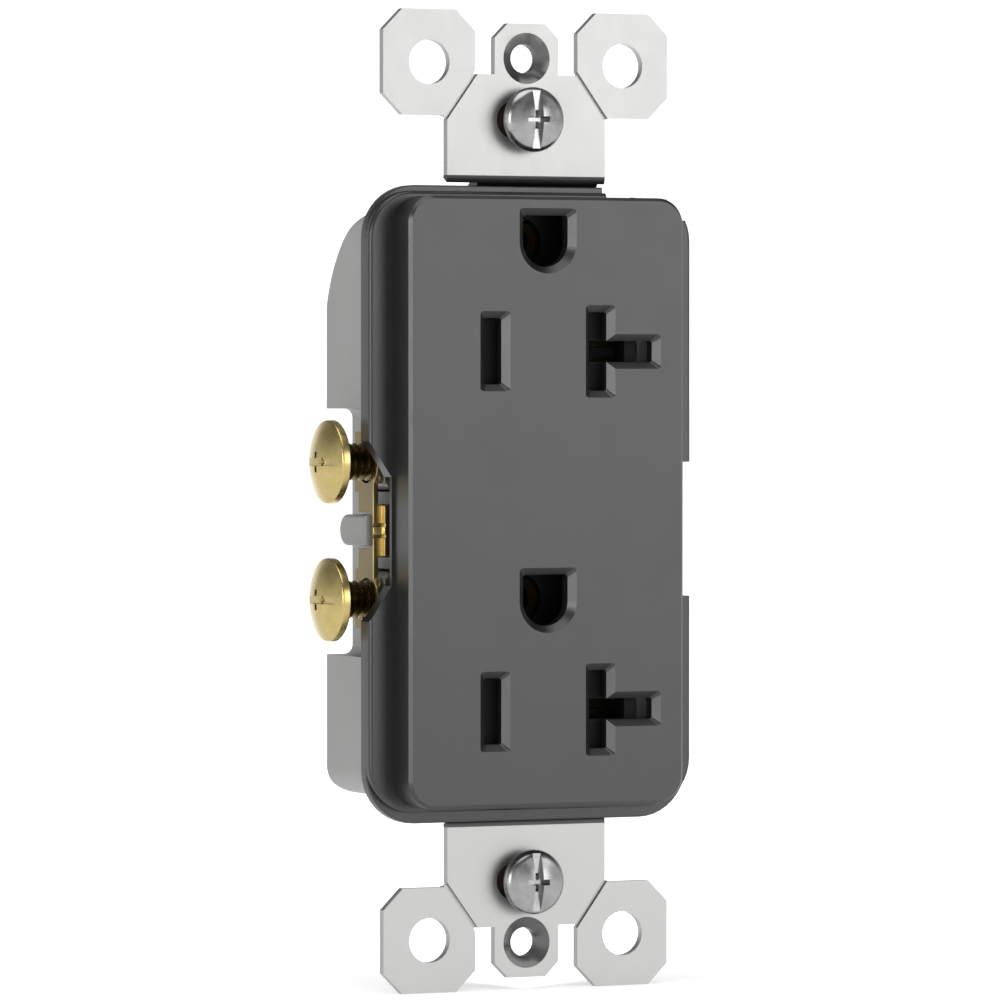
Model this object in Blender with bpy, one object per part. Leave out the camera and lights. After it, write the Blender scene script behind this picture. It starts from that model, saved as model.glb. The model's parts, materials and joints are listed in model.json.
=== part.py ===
"""Duplex wall receptacle, decorator face, tamper resistant, with side-wired clamp terminals.

Frame: metres, +Z up the long axis with the ground holes on top, +X right, the face looks along -Y.
The origin is the middle of the mounting strap, on its wall side (Y = 0 is the wall plane).
"""
import math

import bpy
import bmesh
from mathutils import Vector

MM = 0.001
GAP = 0.3 * MM                  # clearance between pieces that touch
LAP = 1.0 * MM                  # how far joined shapes run into each other
CLEAR = 5.0 * MM                # how far a cutter runs past what it cuts

# ---- mounting strap
STRAP_THICKNESS = 1.0 * MM
BEND_INNER = 0.6 * MM
PLATE_WIDTH = 19.1 * MM
BEND_ABOVE_FACE = 2.45 * MM     # start of the bend, beyond the end of the face
MOUNT_ABOVE_BEND = 6.05 * MM    # box screw
WALLPLATE_ABOVE_BEND = 12.8 * MM
PLATE_END_ABOVE_BEND = 11.0 * MM
GROOVE_FOOT_ABOVE_BEND = 6.4 * MM
TAB_WIDTH = 7.7 * MM
TAB_END_ABOVE_BEND = 16.6 * MM
TAB_CHAMFER = 1.6 * MM
EAR_OFFSET = 11.7 * MM          # ear hole from the middle
EAR_ABOVE_BEND = 12.2 * MM
EAR_WIDTH = 11.0 * MM
EAR_HEIGHT = 11.5 * MM
EAR_CORNER = 2.3 * MM
EAR_HOLE = 4.9 * MM
GROOVE_WIDTH = 0.5 * MM
GROOVE_DEPTH = 0.35 * MM
SLOT_LENGTH = 7.2 * MM
SLOT_WIDTH = 4.1 * MM
SLOT_END_FLAT = 0.02 * MM       # flat left between the two round corners of the slot's end
WALLPLATE_HOLE = 3.2 * MM
FUNNEL_MOUTH = 5.6 * MM
FUNNEL_DEPTH = 0.75 * MM
COLLAR_DIAMETER = 5.2 * MM
COLLAR_LENGTH = 0.9 * MM
WIDE_BEND_ANGLE = math.radians(32)
NECK_LEFT = 5.8 * MM
NECK_RIGHT_TOP = 8.75 * MM
NECK_RIGHT_BOTTOM = 5.4 * MM
WEB_WIDTH = 5.6 * MM
PAD_WIDTH = 10.8 * MM
PAD_HEIGHT = 12.0 * MM

# ---- face and cover
FACE_WIDTH = 33.1 * MM
FACE_HEIGHT = 66.3 * MM
FACE_CORNER = 3.0 * MM
FACE_CHAMFER = 0.35 * MM
FACE_FORWARD = 5.5 * MM         # face ahead of the strap's front
FACE_WALL = 2.0 * MM
SHELL_WALL = 1.6 * MM
SKIRT_FORWARD = 1.4 * MM        # skirt's front ahead of the strap's front
SKIRT_THICKNESS = 1.3 * MM
SKIRT_OVERHANG = 2.9 * MM
SKIRT_RISE = 0.6 * MM
SKIRT_CORNER = 5.2 * MM
SKIRT_EDGE = 0.4 * MM
RIM_THICKNESS = 1.0 * MM
RIM_RISE_TOP = 1.25 * MM
RIM_RISE_BOTTOM = 1.85 * MM
GROUND_NOTCH_DROP = 2.3 * MM    # skirt is cut this far below the top of the face, for the ground screw
NOTCH_CENTRE = -3.2 * MM        # middle of the two terminals
NOTCH_HEIGHT = 14.8 * MM
NOTCH_FLARE = 19.5 * MM
NOTCH_FLOOR = 11.8 * MM
NOTCH_CORNER = 0.8 * MM

# ---- outlets
OUTLET_PITCH = 39.1 * MM
OUTLET_CENTRE = -3.2 * MM
BLADE_OFFSET = 6.35 * MM        # blade from the middle
GROUND_ABOVE_BLADE = 12.0 * MM
HOT_SLOT = (2.1 * MM, 7.2 * MM)
NEUTRAL_SLOT = (2.1 * MM, 8.6 * MM)
ARM_SLOT = 2.3 * MM
ARM_REACH = 6.6 * MM            # end of the sideways arm, from the blade
GROUND_SLOT_WIDTH = 5.4 * MM
GROUND_SLOT_HEIGHT = 5.6 * MM
ENTRY_CHAMFER = 0.75 * MM

# ---- back body
BODY_OVER_FACE = 1.2 * MM       # body side beyond the face side
BODY_DEPTH = 13.5 * MM          # back of the body behind the wall plane
BODY_WALL = 1.5 * MM
FLOOR_WALL = 1.2 * MM
BODY_CORNER = 3.0 * MM
BODY_EDGE = 0.6 * MM
BODY_TOP_DROP = 0.9 * MM        # end of the body inside the end of the face
SHOULDER_RADIUS = 15.0 * MM
SHOULDER_FORWARD = 1.5 * MM     # centre of the shoulder's arc, ahead of the wall plane
SPINE_HALF = 9.7 * MM
RECESS_DEPTH = 3.35 * MM
RECESS_TOP = 13.3 * MM          # ends of the terminal recess from its middle
RECESS_BOTTOM = 13.8 * MM
RIB_HEIGHT = 3.4 * MM           # barrier between the two terminals of a side
RIB_INSET = 0.25 * MM
RIB_BACK = 10.2 * MM
CHANNEL_HALF = 3.3 * MM
PARTITION = 0.8 * MM
CONTACT_ROOM = 8.2 * MM
WIRE_SPREAD = 3.3 * MM
BOSS_DIAMETER = 6.6 * MM
BOSS_INSET = 4.6 * MM
BOSS_DROP_TOP = 9.0 * MM
BOSS_DROP_BOTTOM = 3.6 * MM
POST_DIAMETER = 4.6 * MM        # the cover's posts, which meet the bosses

# ---- terminals
TERMINAL_PITCH = 15.0 * MM
TERMINAL_INSET = 0.85 * MM      # terminal plate's outer face inside the body side
TERMINAL_THICKNESS = 0.6 * MM
TERMINAL_DEPTH = 4.2 * MM       # screw axis behind the wall plane
TERMINAL_HALF = 3.3 * MM
TERMINAL_AHEAD = 1.3 * MM       # front edge of a terminal plate, ahead of its screw axis
TERMINAL_BEHIND = 3.0 * MM      # and its back edge, behind the axis
TERMINAL_FRONT = 2.3 * MM
TERMINAL_BACK = 6.3 * MM
BRIDGE_HALF = 5.7 * MM
ARM_HALF = 2.9 * MM
LINK_HALF = 0.6 * MM
LINK_SLIT = 0.35 * MM
FIN_HALF = 2.75 * MM
FIN_FRONT = 1.5 * MM
BACKED_OUT = {"hot": 3.8 * MM, "neutral": 1.0 * MM}     # head off the terminal plate
SCREW_SHANK = 4.1 * MM
SCREW_HEAD = 9.1 * MM
SCREW_HEAD_HEIGHT = 2.3 * MM
SCREW_HEAD_EDGE = 1.3 * MM
SLOT_IN_HEAD = 0.9 * MM
SLOT_IN_HEAD_DEPTH = 0.8 * MM
SCREW_REACH = 2.6 * MM          # thread past the clamp
CLAMP_THICKNESS = 1.3 * MM
CLAMP_HALF = 3.0 * MM

# ---- contacts
SHEET = 0.6 * MM
BUS_THICKNESS = 0.8 * MM
BUS_OUTER = 8.0 * MM
BLADE_GRIP = 1.0 * MM
GRIP_HALF = 3.3 * MM
MOUTH_FLARE = 0.4 * MM
GROUND_GRIP = 4.3 * MM
GROUND_GRIP_HALF = 2.1 * MM
GROUND_GRIP_CLEAR = 1.8 * MM    # end of the ground grip off the body's floor
RIVET_DROP = 6.3 * MM
RIVET_SHANK = 2.4 * MM
RIVET_HEAD = 4.2 * MM
RIVET_HEAD_HEIGHT = 0.7 * MM

# ---- ground screw
GROUND_TAB_REACH = 15.0 * MM
GROUND_TAB_DEPTH = 10.6 * MM
GROUND_TAB_DROP = 6.2 * MM
GROUND_SCREW_DEPTH = 7.0 * MM
GROUND_SCREW_DROP = 2.85 * MM   # screw axis below the end of the face
GROUND_HEAD = 6.6 * MM
GROUND_HEAD_HEIGHT = 1.5 * MM
GROUND_HEAD_EDGE = 0.9 * MM
GROUND_SHANK = 3.9 * MM
GROUND_BACKED_OUT = 1.6 * MM

# ---- box screws
MOUNT_SHANK = 3.4 * MM
MOUNT_HEAD = 7.1 * MM
MOUNT_HEAD_HEIGHT = 1.9 * MM
MOUNT_STANDOFF = 1.5 * MM
MOUNT_LENGTH = 13.0 * MM        # thread behind the wall plane
RETAINER_SIZE = 7.6 * MM
RETAINER_THICKNESS = 0.8 * MM

# ---- shutters
SHUTTER_TRAVEL = 2.6 * MM
SHUTTER_OUTER = 5.2 * MM        # from the blade away from the middle
SHUTTER_INNER = 7.6 * MM        # from the blade towards the middle, with room for the spring
SHUTTER_LEFT = 13.2 * MM
SHUTTER_RIGHT = 11.7 * MM
GUIDE_THICKNESS = 1.0 * MM
GUIDE_OFF_RIVET = 0.6 * MM      # back of the guide to the head of the ground rivet
SPRING_SIDE = 0.1 * MM          # spring inside the faces of the shutter
SPRING_WIRE = 0.36 * MM
SPRING_TURNS = 7
SPRING_LENGTH = 8.2 * MM
SPRING_FROM_BLADE = 5.9 * MM

# ---- assembly screws
ASSEMBLY_SHANK = 2.4 * MM
ASSEMBLY_HEAD = 4.4 * MM
ASSEMBLY_HEAD_HEIGHT = 1.3 * MM
ASSEMBLY_SEAT_TOP = 8.5 * MM    # head seat behind the wall plane, in the shoulders
ASSEMBLY_SEAT_BOTTOM = 11.4 * MM

# ---- places worked out from the sizes above
FACE_Y = -(STRAP_THICKNESS + FACE_FORWARD)
FACE_BACK = FACE_Y + FACE_WALL
FACE_END = FACE_HEIGHT / 2
FACE_SIDE = FACE_WIDTH / 2
SKIRT_FRONT = -(STRAP_THICKNESS + SKIRT_FORWARD)
SKIRT_BACK = SKIRT_FRONT + SKIRT_THICKNESS
RIM_BACK = SKIRT_BACK + RIM_THICKNESS
SKIRT_SIDE = FACE_SIDE + SKIRT_OVERHANG
BEND_Z = FACE_END + BEND_ABOVE_FACE
MOUNT_Z = BEND_Z + MOUNT_ABOVE_BEND
WEB_FRONT = 2 * BEND_INNER
WEB_BACK = WEB_FRONT + STRAP_THICKNESS
COVER_BACK = WEB_FRONT - GAP
BODY_SIDE = FACE_SIDE + BODY_OVER_FACE
BODY_FLOOR = BODY_DEPTH - FLOOR_WALL
BODY_END = FACE_END - BODY_TOP_DROP
RECESS_SIDE = BODY_SIDE - RECESS_DEPTH
SHOULDER_Z = BODY_END - SHOULDER_RADIUS
TERMINAL_SIDE = BODY_SIDE - TERMINAL_INSET
TERMINAL_INNER = TERMINAL_SIDE - TERMINAL_THICKNESS
WEB_FLOOR = WEB_BACK + GAP
GUIDE_BACK = WEB_FRONT - GAP - RIVET_HEAD_HEIGHT - GUIDE_OFF_RIVET
GUIDE_FRONT = GUIDE_BACK - GUIDE_THICKNESS
SHUTTER_FRONT = FACE_BACK + GAP
SHUTTER_BACK = GUIDE_FRONT - GAP
SPRING_DIAMETER = SHUTTER_BACK - SHUTTER_FRONT - 2 * SPRING_SIDE
CAVITY_SIDE = FACE_SIDE - SHELL_WALL
CAVITY_END = FACE_END - SHELL_WALL
BOSS_X = BODY_SIDE - BOSS_INSET
BOSS_TOP_Z = BODY_END - BOSS_DROP_TOP
BOSS_BOTTOM_Z = -(BODY_END - BOSS_DROP_BOTTOM)
WIDE_BEND_END = BEND_Z - (BEND_INNER + STRAP_THICKNESS) * math.sin(WIDE_BEND_ANGLE)
GROUND_TAB_LOW = BODY_END - GROUND_TAB_DROP
OUTLETS = {"upper": OUTLET_CENTRE + OUTLET_PITCH / 2, "lower": OUTLET_CENTRE - OUTLET_PITCH / 2}
TERMINALS = {"upper": NOTCH_CENTRE + TERMINAL_PITCH / 2, "lower": NOTCH_CENTRE - TERMINAL_PITCH / 2}
SIDES = {"hot": -1, "neutral": 1}


# ---- shapes: each is a list of corner points and a list of faces
def place(axis, u, v, along):
    """A point from two coordinates across an axis and one along it."""
    if axis == "X":
        return (along, u, v)
    if axis == "Y":
        return (u, along, v)
    return (u, v, along)


def stack(rings):
    """A closed shape through rings of equal count, capped at both ends."""
    count = len(rings[0])
    points = [point for ring in rings for point in ring]
    faces = [tuple(range(count)), tuple(range(len(points) - count, len(points)))]
    for level in range(len(rings) - 1):
        base = level * count
        for i in range(count):
            j = (i + 1) % count
            faces.append((base + i, base + j, base + count + j, base + count + i))
    return points, faces


def inset(outline, distance):
    """The outline moved inwards by a distance, with mitred corners; the outline runs anticlockwise."""
    moved = []
    for i, here in enumerate(outline):
        before = Vector(outline[i - 1])
        after = Vector(outline[(i + 1) % len(outline)])
        here = Vector(here)
        into = (here - before).normalized()
        out = (after - here).normalized()
        normal = Vector((-into.y, into.x)) + Vector((-out.y, out.x))
        moved.append(tuple(here + normal * (2 * distance / normal.length_squared)))
    return moved


def loft(outline, axis, levels):
    """An outline carried along an axis; a level is a place on the axis and an inset there."""
    return stack([[place(axis, u, v, along) for u, v in inset(outline, shrink)] for along, shrink in levels])


def prism(outline, axis, low, high):
    return loft(outline, axis, [(low, 0), (high, 0)])


def box(x, y, z):
    x, y, z = sorted(x), sorted(y), sorted(z)
    return prism([(x[0], z[0]), (x[1], z[0]), (x[1], z[1]), (x[0], z[1])], "Y", y[0], y[1])


def turned(axis, centre, levels, segments=20):
    """A turned shape about an axis; a level is a place on the axis and a radius there."""
    angles = [2 * math.pi * (i + 0.5) / segments for i in range(segments)]
    return stack([[place(axis, centre[0] + radius * math.cos(a), centre[1] + radius * math.sin(a), along)
                   for a in angles] for along, radius in levels])


def cylinder(axis, centre, diameter, low, high, segments=20):
    return turned(axis, centre, [(low, diameter / 2), (high, diameter / 2)], segments)


def arc(centre, radius, start, sweep, steps=6):
    return [(centre[0] + radius * math.cos(math.radians(start + sweep * i / steps)),
             centre[1] + radius * math.sin(math.radians(start + sweep * i / steps))) for i in range(steps + 1)]


def rounded(x, z, radius, steps=6):
    """A rectangle with round corners, anticlockwise."""
    x, z = sorted(x), sorted(z)
    corners = [((x[1] - radius, z[0] + radius), -90), ((x[1] - radius, z[1] - radius), 0),
               ((x[0] + radius, z[1] - radius), 90), ((x[0] + radius, z[0] + radius), 180)]
    return [point for centre, start in corners for point in arc(centre, radius, start, 90, steps)]


def mirrored(outline, z_sign):
    """The outline, or its mirror image below the middle, still anticlockwise."""
    if z_sign > 0:
        return outline
    return [(u, -v) for u, v in reversed(outline)]


# ---- finishes
def finish(name, colour, roughness, metallic):
    material = bpy.data.materials.new(name)
    material.use_nodes = True
    shader = material.node_tree.nodes["Principled BSDF"]
    shader.inputs["Base Color"].default_value = (*colour, 1)
    shader.inputs["Roughness"].default_value = roughness
    shader.inputs["Metallic"].default_value = metallic
    material.diffuse_color = (*colour, 1)
    return material


def mesh_object(name, shapes, origin):
    """One object from shapes given in world places, its origin where asked."""
    mesh = bpy.data.meshes.new(name)
    work = bmesh.new()
    for points, faces in shapes:
        verts = [work.verts.new(Vector(point) - Vector(origin)) for point in points]
        for face in faces:
            work.faces.new([verts[i] for i in face])
    bmesh.ops.recalc_face_normals(work, faces=work.faces)
    work.to_mesh(mesh)
    work.free()
    body = bpy.data.objects.new(name, mesh)
    body.location = origin
    bpy.context.scene.collection.objects.link(body)
    return body


def boolean(body, shapes, operation):
    tool = mesh_object(f"{body.name}.{operation.lower()}", shapes, (0, 0, 0))
    tool.hide_render = True
    tool.display_type = "WIRE"
    modifier = body.modifiers.new(operation.lower(), "BOOLEAN")
    modifier.operation = operation
    modifier.solver = "EXACT"
    modifier.use_self = True
    modifier.object = tool


def piece(name, material, solids, cuts=(), origin=(0, 0, 0)):
    """A named sub-part: the solids joined, then the cuts taken away."""
    body = mesh_object(name, solids[:1], origin)
    if len(solids) > 1:
        boolean(body, solids[1:], "UNION")
    if cuts:
        boolean(body, list(cuts), "DIFFERENCE")
    body.data.materials.append(material)
    body.data.shade_smooth()
    body.data.set_sharp_from_angle(angle=math.radians(30))
    return body


# ---- the strap
def s_bend(z_sign, first=math.pi / 2, through=True, steps=6):
    """The strap's edge view where it steps back from the ears to the web."""
    centre_y = BEND_INNER
    outer = BEND_INNER + STRAP_THICKNESS
    turns = [first * i / steps for i in range(steps + 1)]
    front = [(-STRAP_THICKNESS, BEND_Z + LAP)]
    front += [(centre_y - outer * math.cos(a), BEND_Z - outer * math.sin(a)) for a in turns]
    back = [(0.0, BEND_Z + LAP)]
    back += [(centre_y - BEND_INNER * math.cos(a), BEND_Z - BEND_INNER * math.sin(a)) for a in turns]
    if through:
        low = BEND_Z - BEND_INNER - outer
        front += [(centre_y + BEND_INNER * math.sin(a), low + BEND_INNER * math.cos(a)) for a in turns]
        front.append((WEB_FRONT, low - LAP))
        back += [(centre_y + outer * math.sin(a), low + outer * math.cos(a)) for a in turns]
        back.append((WEB_BACK, low - LAP))
    return mirrored(front + back[::-1], z_sign)


def plate_outline():
    """Half of the flat end of the strap, above the bend: plate, tab and the two ears."""
    half = PLATE_WIDTH / 2
    top = BEND_Z + PLATE_END_ABOVE_BEND
    foot = BEND_Z + GROOVE_FOOT_ABOVE_BEND
    ear_in = EAR_OFFSET - EAR_WIDTH / 2
    ear_out = EAR_OFFSET + EAR_WIDTH / 2
    ear_low = BEND_Z + EAR_ABOVE_BEND - EAR_HEIGHT / 2
    ear_high = BEND_Z + EAR_ABOVE_BEND + EAR_HEIGHT / 2
    tab = TAB_WIDTH / 2
    tab_end = BEND_Z + TAB_END_ABOVE_BEND
    right = [(half, BEND_Z), (half, foot - GAP), (half + LAP / 2, ear_low),
             (ear_out - EAR_CORNER, ear_low), (ear_out, ear_low + EAR_CORNER),
             (ear_out, ear_high - EAR_CORNER), (ear_out - EAR_CORNER, ear_high),
             (ear_in + EAR_CORNER, ear_high), (ear_in, ear_high - EAR_CORNER), (ear_in, top),
             (tab, top), (tab, tab_end - TAB_CHAMFER), (tab - TAB_CHAMFER, tab_end)]
    return right + [(-x, z) for x, z in reversed(right)]


def make_strap(material):
    solids = []
    cuts = []
    half = PLATE_WIDTH / 2
    front = -STRAP_THICKNESS
    for sign, neck_right in ((1, NECK_RIGHT_TOP), (-1, NECK_RIGHT_BOTTOM)):
        solids.append(prism(mirrored(plate_outline(), sign), "Y", front, 0))
        solids.append(prism(s_bend(sign, WIDE_BEND_ANGLE, False), "X", -half, half))
        solids.append(prism(s_bend(sign), "X", -NECK_LEFT, neck_right))
        funnel_z = sign * (BEND_Z + WALLPLATE_ABOVE_BEND)
        solids.append(cylinder("Y", (0, funnel_z), COLLAR_DIAMETER, front / 2, COLLAR_LENGTH))
        cuts.append(turned("Y", (0, funnel_z), [(front - GAP, FUNNEL_MOUTH / 2 + GAP),
                                                (front, FUNNEL_MOUTH / 2),
                                                (front + FUNNEL_DEPTH, WALLPLATE_HOLE / 2),
                                                (COLLAR_LENGTH + GAP, WALLPLATE_HOLE / 2)]))
        slot_z = sign * MOUNT_Z
        slot = rounded((-SLOT_LENGTH / 2, SLOT_LENGTH / 2),
                       (slot_z - SLOT_WIDTH / 2, slot_z + SLOT_WIDTH / 2), (SLOT_WIDTH - SLOT_END_FLAT) / 2)
        cuts.append(prism(slot, "Y", front - CLEAR, CLEAR))
        for side in (-1, 1):
            ear_z = sign * (BEND_Z + EAR_ABOVE_BEND)
            cuts.append(cylinder("Y", (side * EAR_OFFSET, ear_z), EAR_HOLE, front - CLEAR, CLEAR, 24))
            cuts += break_off_grooves(side, sign)
    solids += web()
    cuts += web_holes()
    return piece("strap", material, solids, cuts)


def break_off_grooves(side, sign):
    """The scored line that lets an ear be snapped off, on both faces of the strap."""
    inner = Vector((side * (EAR_OFFSET - EAR_WIDTH / 2), sign * (BEND_Z + PLATE_END_ABOVE_BEND)))
    outer = Vector((side * PLATE_WIDTH / 2, sign * (BEND_Z + GROOVE_FOOT_ABOVE_BEND)))
    run = (outer - inner).normalized()
    across = Vector((-run.y, run.x)) * GROOVE_WIDTH / 2
    start = inner - run * LAP
    end = outer + run * LAP
    outline = [tuple(start - across), tuple(end - across), tuple(end + across), tuple(start + across)]
    front = (-STRAP_THICKNESS - LAP, -STRAP_THICKNESS + GROOVE_DEPTH)
    back = (-GROOVE_DEPTH, LAP)
    return [prism(outline, "Y", *depth) for depth in (front, back)]


def web():
    """The part of the strap that runs between cover and body, with pads for the ground contacts."""
    low = BEND_Z - 2 * BEND_INNER - STRAP_THICKNESS
    half = WEB_WIDTH / 2
    reach = GROUND_TAB_REACH
    depth = (WEB_FRONT, WEB_BACK)
    solids = [box((-half, half), depth, (-low, low)),
              box((-NECK_LEFT, NECK_RIGHT_BOTTOM), depth, (-low - LAP / 2, -low + PAD_HEIGHT / 2)),
              box((0, reach), depth, (GROUND_TAB_LOW, BODY_END)),
              box((-NECK_LEFT, NECK_RIGHT_TOP), depth, (GROUND_TAB_LOW, low + LAP / 2)),
              box((reach - STRAP_THICKNESS, reach), (WEB_FRONT, GROUND_TAB_DEPTH), (GROUND_TAB_LOW, BODY_END))]
    for blade in OUTLETS.values():
        ground = blade + GROUND_ABOVE_BLADE
        pad = (ground - PAD_HEIGHT / 2, min(ground + PAD_HEIGHT / 2, low))
        solids.append(box((-PAD_WIDTH / 2, PAD_WIDTH / 2), depth, pad))
    return solids


def web_holes():
    """A hole for each ground pin, for each rivet and for the ground screw."""
    cuts = []
    for blade in OUTLETS.values():
        ground = blade + GROUND_ABOVE_BLADE
        cuts.append(cylinder("Y", (0, ground), GROUND_SLOT_HEIGHT, WEB_FRONT - LAP, WEB_BACK + LAP, 24))
        cuts.append(cylinder("Y", (0, ground - RIVET_DROP), RIVET_SHANK + 2 * GAP,
                             WEB_FRONT - LAP, WEB_BACK + LAP))
    cuts.append(cylinder("X", (GROUND_SCREW_DEPTH, FACE_END - GROUND_SCREW_DROP), GROUND_SHANK + 2 * GAP,
                         GROUND_TAB_REACH - CLEAR, GROUND_TAB_REACH + CLEAR))
    return cuts


# ---- openings in the face
def slot_outline(x, z, size, margin=0.0):
    half_w = size[0] / 2 + margin
    half_h = size[1] / 2 + margin
    return [(x - half_w, z - half_h), (x + half_w, z - half_h),
            (x + half_w, z + half_h), (x - half_w, z + half_h)]


def tee_outline(x, z, margin=0.0):
    """The neutral opening: an upright slot with an arm to the right."""
    half_w = NEUTRAL_SLOT[0] / 2 + margin
    half_h = NEUTRAL_SLOT[1] / 2 + margin
    arm = ARM_SLOT / 2 + margin
    reach = ARM_REACH + margin
    return [(x - half_w, z - half_h), (x + half_w, z - half_h), (x + half_w, z - arm), (x + reach, z - arm),
            (x + reach, z + arm), (x + half_w, z + arm), (x + half_w, z + half_h), (x - half_w, z + half_h)]


def ground_outline(z, margin=0.0):
    """The ground opening: flat on top, round below."""
    half = GROUND_SLOT_WIDTH / 2 + margin
    top = z + GROUND_SLOT_HEIGHT / 2 + margin
    return arc((0, z - GROUND_SLOT_HEIGHT / 2 + GROUND_SLOT_WIDTH / 2), half, 180, 180, 10) + [
        (half, top), (-half, top)]


def outlet_outlines(blade, margin=0.0):
    return [slot_outline(-BLADE_OFFSET, blade, HOT_SLOT, margin), tee_outline(BLADE_OFFSET, blade, margin),
            ground_outline(blade + GROUND_ABOVE_BLADE, margin)]


# ---- front cover
def make_cover(material):
    face = rounded((-FACE_SIDE, FACE_SIDE), (-FACE_END, FACE_END), FACE_CORNER)
    skirt = rounded((-SKIRT_SIDE, SKIRT_SIDE), (-FACE_END - SKIRT_RISE, FACE_END + SKIRT_RISE), SKIRT_CORNER)
    rim = rounded((-SKIRT_SIDE, SKIRT_SIDE), (-FACE_END - RIM_RISE_BOTTOM, FACE_END + RIM_RISE_TOP),
                  SKIRT_CORNER + RIM_RISE_TOP / 2)
    spigot_side = BODY_SIDE - GAP
    spigot = rounded((-spigot_side, spigot_side), (-BODY_END, BODY_END), BODY_CORNER)
    solids = [loft(face, "Y", [(FACE_Y, FACE_CHAMFER), (FACE_Y + FACE_CHAMFER, 0), (SKIRT_FRONT + LAP / 2, 0)]),
              loft(skirt, "Y", [(SKIRT_FRONT, SKIRT_EDGE), (SKIRT_FRONT + SKIRT_EDGE / 3, SKIRT_EDGE / 3),
                                (SKIRT_FRONT + SKIRT_EDGE, 0), (SKIRT_BACK, 0)]),
              prism(rim, "Y", SKIRT_BACK - LAP / 4, RIM_BACK),
              prism(spigot, "Y", RIM_BACK - LAP / 4, COVER_BACK)]
    cavity = rounded((-CAVITY_SIDE, CAVITY_SIDE), (-CAVITY_END, CAVITY_END), FACE_CORNER - LAP)
    cuts = [prism(cavity, "Y", FACE_BACK, CLEAR)]
    for blade in OUTLETS.values():
        for outline in outlet_outlines(blade):
            cuts.append(loft(outline, "Y", [(FACE_Y - LAP, -ENTRY_CHAMFER - LAP), (FACE_Y + ENTRY_CHAMFER, 0),
                                            (FACE_BACK + LAP, 0)]))
    cuts += rim_cuts() + skirt_notches()
    shell = piece("front_cover", material, solids, cuts)
    join_posts(shell)
    return shell


def rim_cuts():
    """Room in the rim for the strap's neck, and the corner cut away for the ground screw."""
    depth = (SKIRT_BACK, RIM_BACK + GAP)
    far = FACE_END + CLEAR
    plate = PLATE_WIDTH / 2 + GAP
    cuts = [box((-NECK_LEFT - GAP, SKIRT_SIDE + LAP), depth, (FACE_END + SKIRT_RISE, far)),
            box((-NECK_LEFT - GAP, NECK_RIGHT_BOTTOM + GAP), depth, (-FACE_END - SKIRT_RISE, -far)),
            box((-plate, plate), depth, (GAP - WIDE_BEND_END, -far))]
    low = FACE_END - GROUND_NOTCH_DROP
    ground = rounded((NECK_RIGHT_TOP + GAP, SKIRT_SIDE + CLEAR), (low, FACE_END + CLEAR), LAP)
    cuts.append(prism(ground, "Y", SKIRT_FRONT + LAP, CLEAR))
    side = [(FACE_SIDE, low + LAP), (SKIRT_SIDE - LAP, low), (SKIRT_SIDE + LAP, low - 2 * LAP),
            (SKIRT_SIDE + CLEAR, low), (SKIRT_SIDE + CLEAR, FACE_END + CLEAR), (FACE_SIDE, FACE_END + CLEAR)]
    cuts.append(prism(side, "Y", SKIRT_FRONT - LAP, CLEAR))
    cuts.append(box((NECK_RIGHT_TOP + GAP, FACE_SIDE + LAP), (SKIRT_FRONT - LAP, CLEAR),
                    (FACE_END, FACE_END + CLEAR)))
    return cuts


def skirt_notches():
    """The skirt opens at the terminals: a flared notch on the hot side, a square one on the neutral side.

    Behind each notch the wall is open as well, so that the break-off fin can be reached.
    """
    depth = (SKIRT_FRONT - LAP, CLEAR)
    floor = FACE_SIDE + GAP
    flare = [(-SKIRT_SIDE, NOTCH_CENTRE - NOTCH_FLARE / 2), (-floor, NOTCH_CENTRE - NOTCH_FLOOR / 2),
             (-floor, NOTCH_CENTRE + NOTCH_FLOOR / 2), (-SKIRT_SIDE, NOTCH_CENTRE + NOTCH_FLARE / 2),
             (-SKIRT_SIDE - LAP, NOTCH_CENTRE + NOTCH_FLARE / 2),
             (-SKIRT_SIDE - LAP, NOTCH_CENTRE - NOTCH_FLARE / 2)]
    square = rounded((floor, SKIRT_SIDE + CLEAR),
                     (NOTCH_CENTRE - NOTCH_HEIGHT / 2, NOTCH_CENTRE + NOTCH_HEIGHT / 2), NOTCH_CORNER)
    cuts = [prism(flare, "Y", *depth), prism(square, "Y", *depth)]
    for side in SIDES.values():
        for z in TERMINALS.values():
            cuts.append(cylinder("X", (TERMINAL_DEPTH, z), SCREW_HEAD + 2 * GAP,
                                 *sorted((side * floor, side * (SKIRT_SIDE + CLEAR)))))
        cuts.append(box((side * CAVITY_SIDE, side * (floor + LAP)), (SKIRT_FRONT + LAP / 2, CLEAR),
                        (NOTCH_CENTRE - NOTCH_FLOOR / 2, NOTCH_CENTRE + NOTCH_FLOOR / 2)))
    return cuts


def boss_places():
    """Where the four assembly screws stand, and where their heads sit behind the wall plane."""
    return {f"{height}_{side}": (sign * BOSS_X, z, seat)
            for height, z, seat in (("upper", BOSS_TOP_Z, ASSEMBLY_SEAT_TOP),
                                    ("lower", BOSS_BOTTOM_Z, ASSEMBLY_SEAT_BOTTOM))
            for side, sign in (("left", -1), ("right", 1))}


def join_posts(shell):
    """Posts inside the cover that take the assembly screws, and the bar between the two outlets."""
    posts = [box((-CAVITY_SIDE - LAP / 2, CAVITY_SIDE + LAP / 2), (FACE_BACK - LAP, RIM_BACK),
                 (OUTLET_CENTRE - LAP, OUTLET_CENTRE))]
    holes = []
    for x, z, _ in boss_places().values():
        posts.append(cylinder("Y", (x, z), POST_DIAMETER, FACE_BACK - LAP, COVER_BACK))
        holes.append(cylinder("Y", (x, z), ASSEMBLY_SHANK + 2 * GAP, FACE_BACK + GAP, CLEAR, 12))
    boolean(shell, posts, "UNION")
    boolean(shell, holes, "DIFFERENCE")


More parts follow.
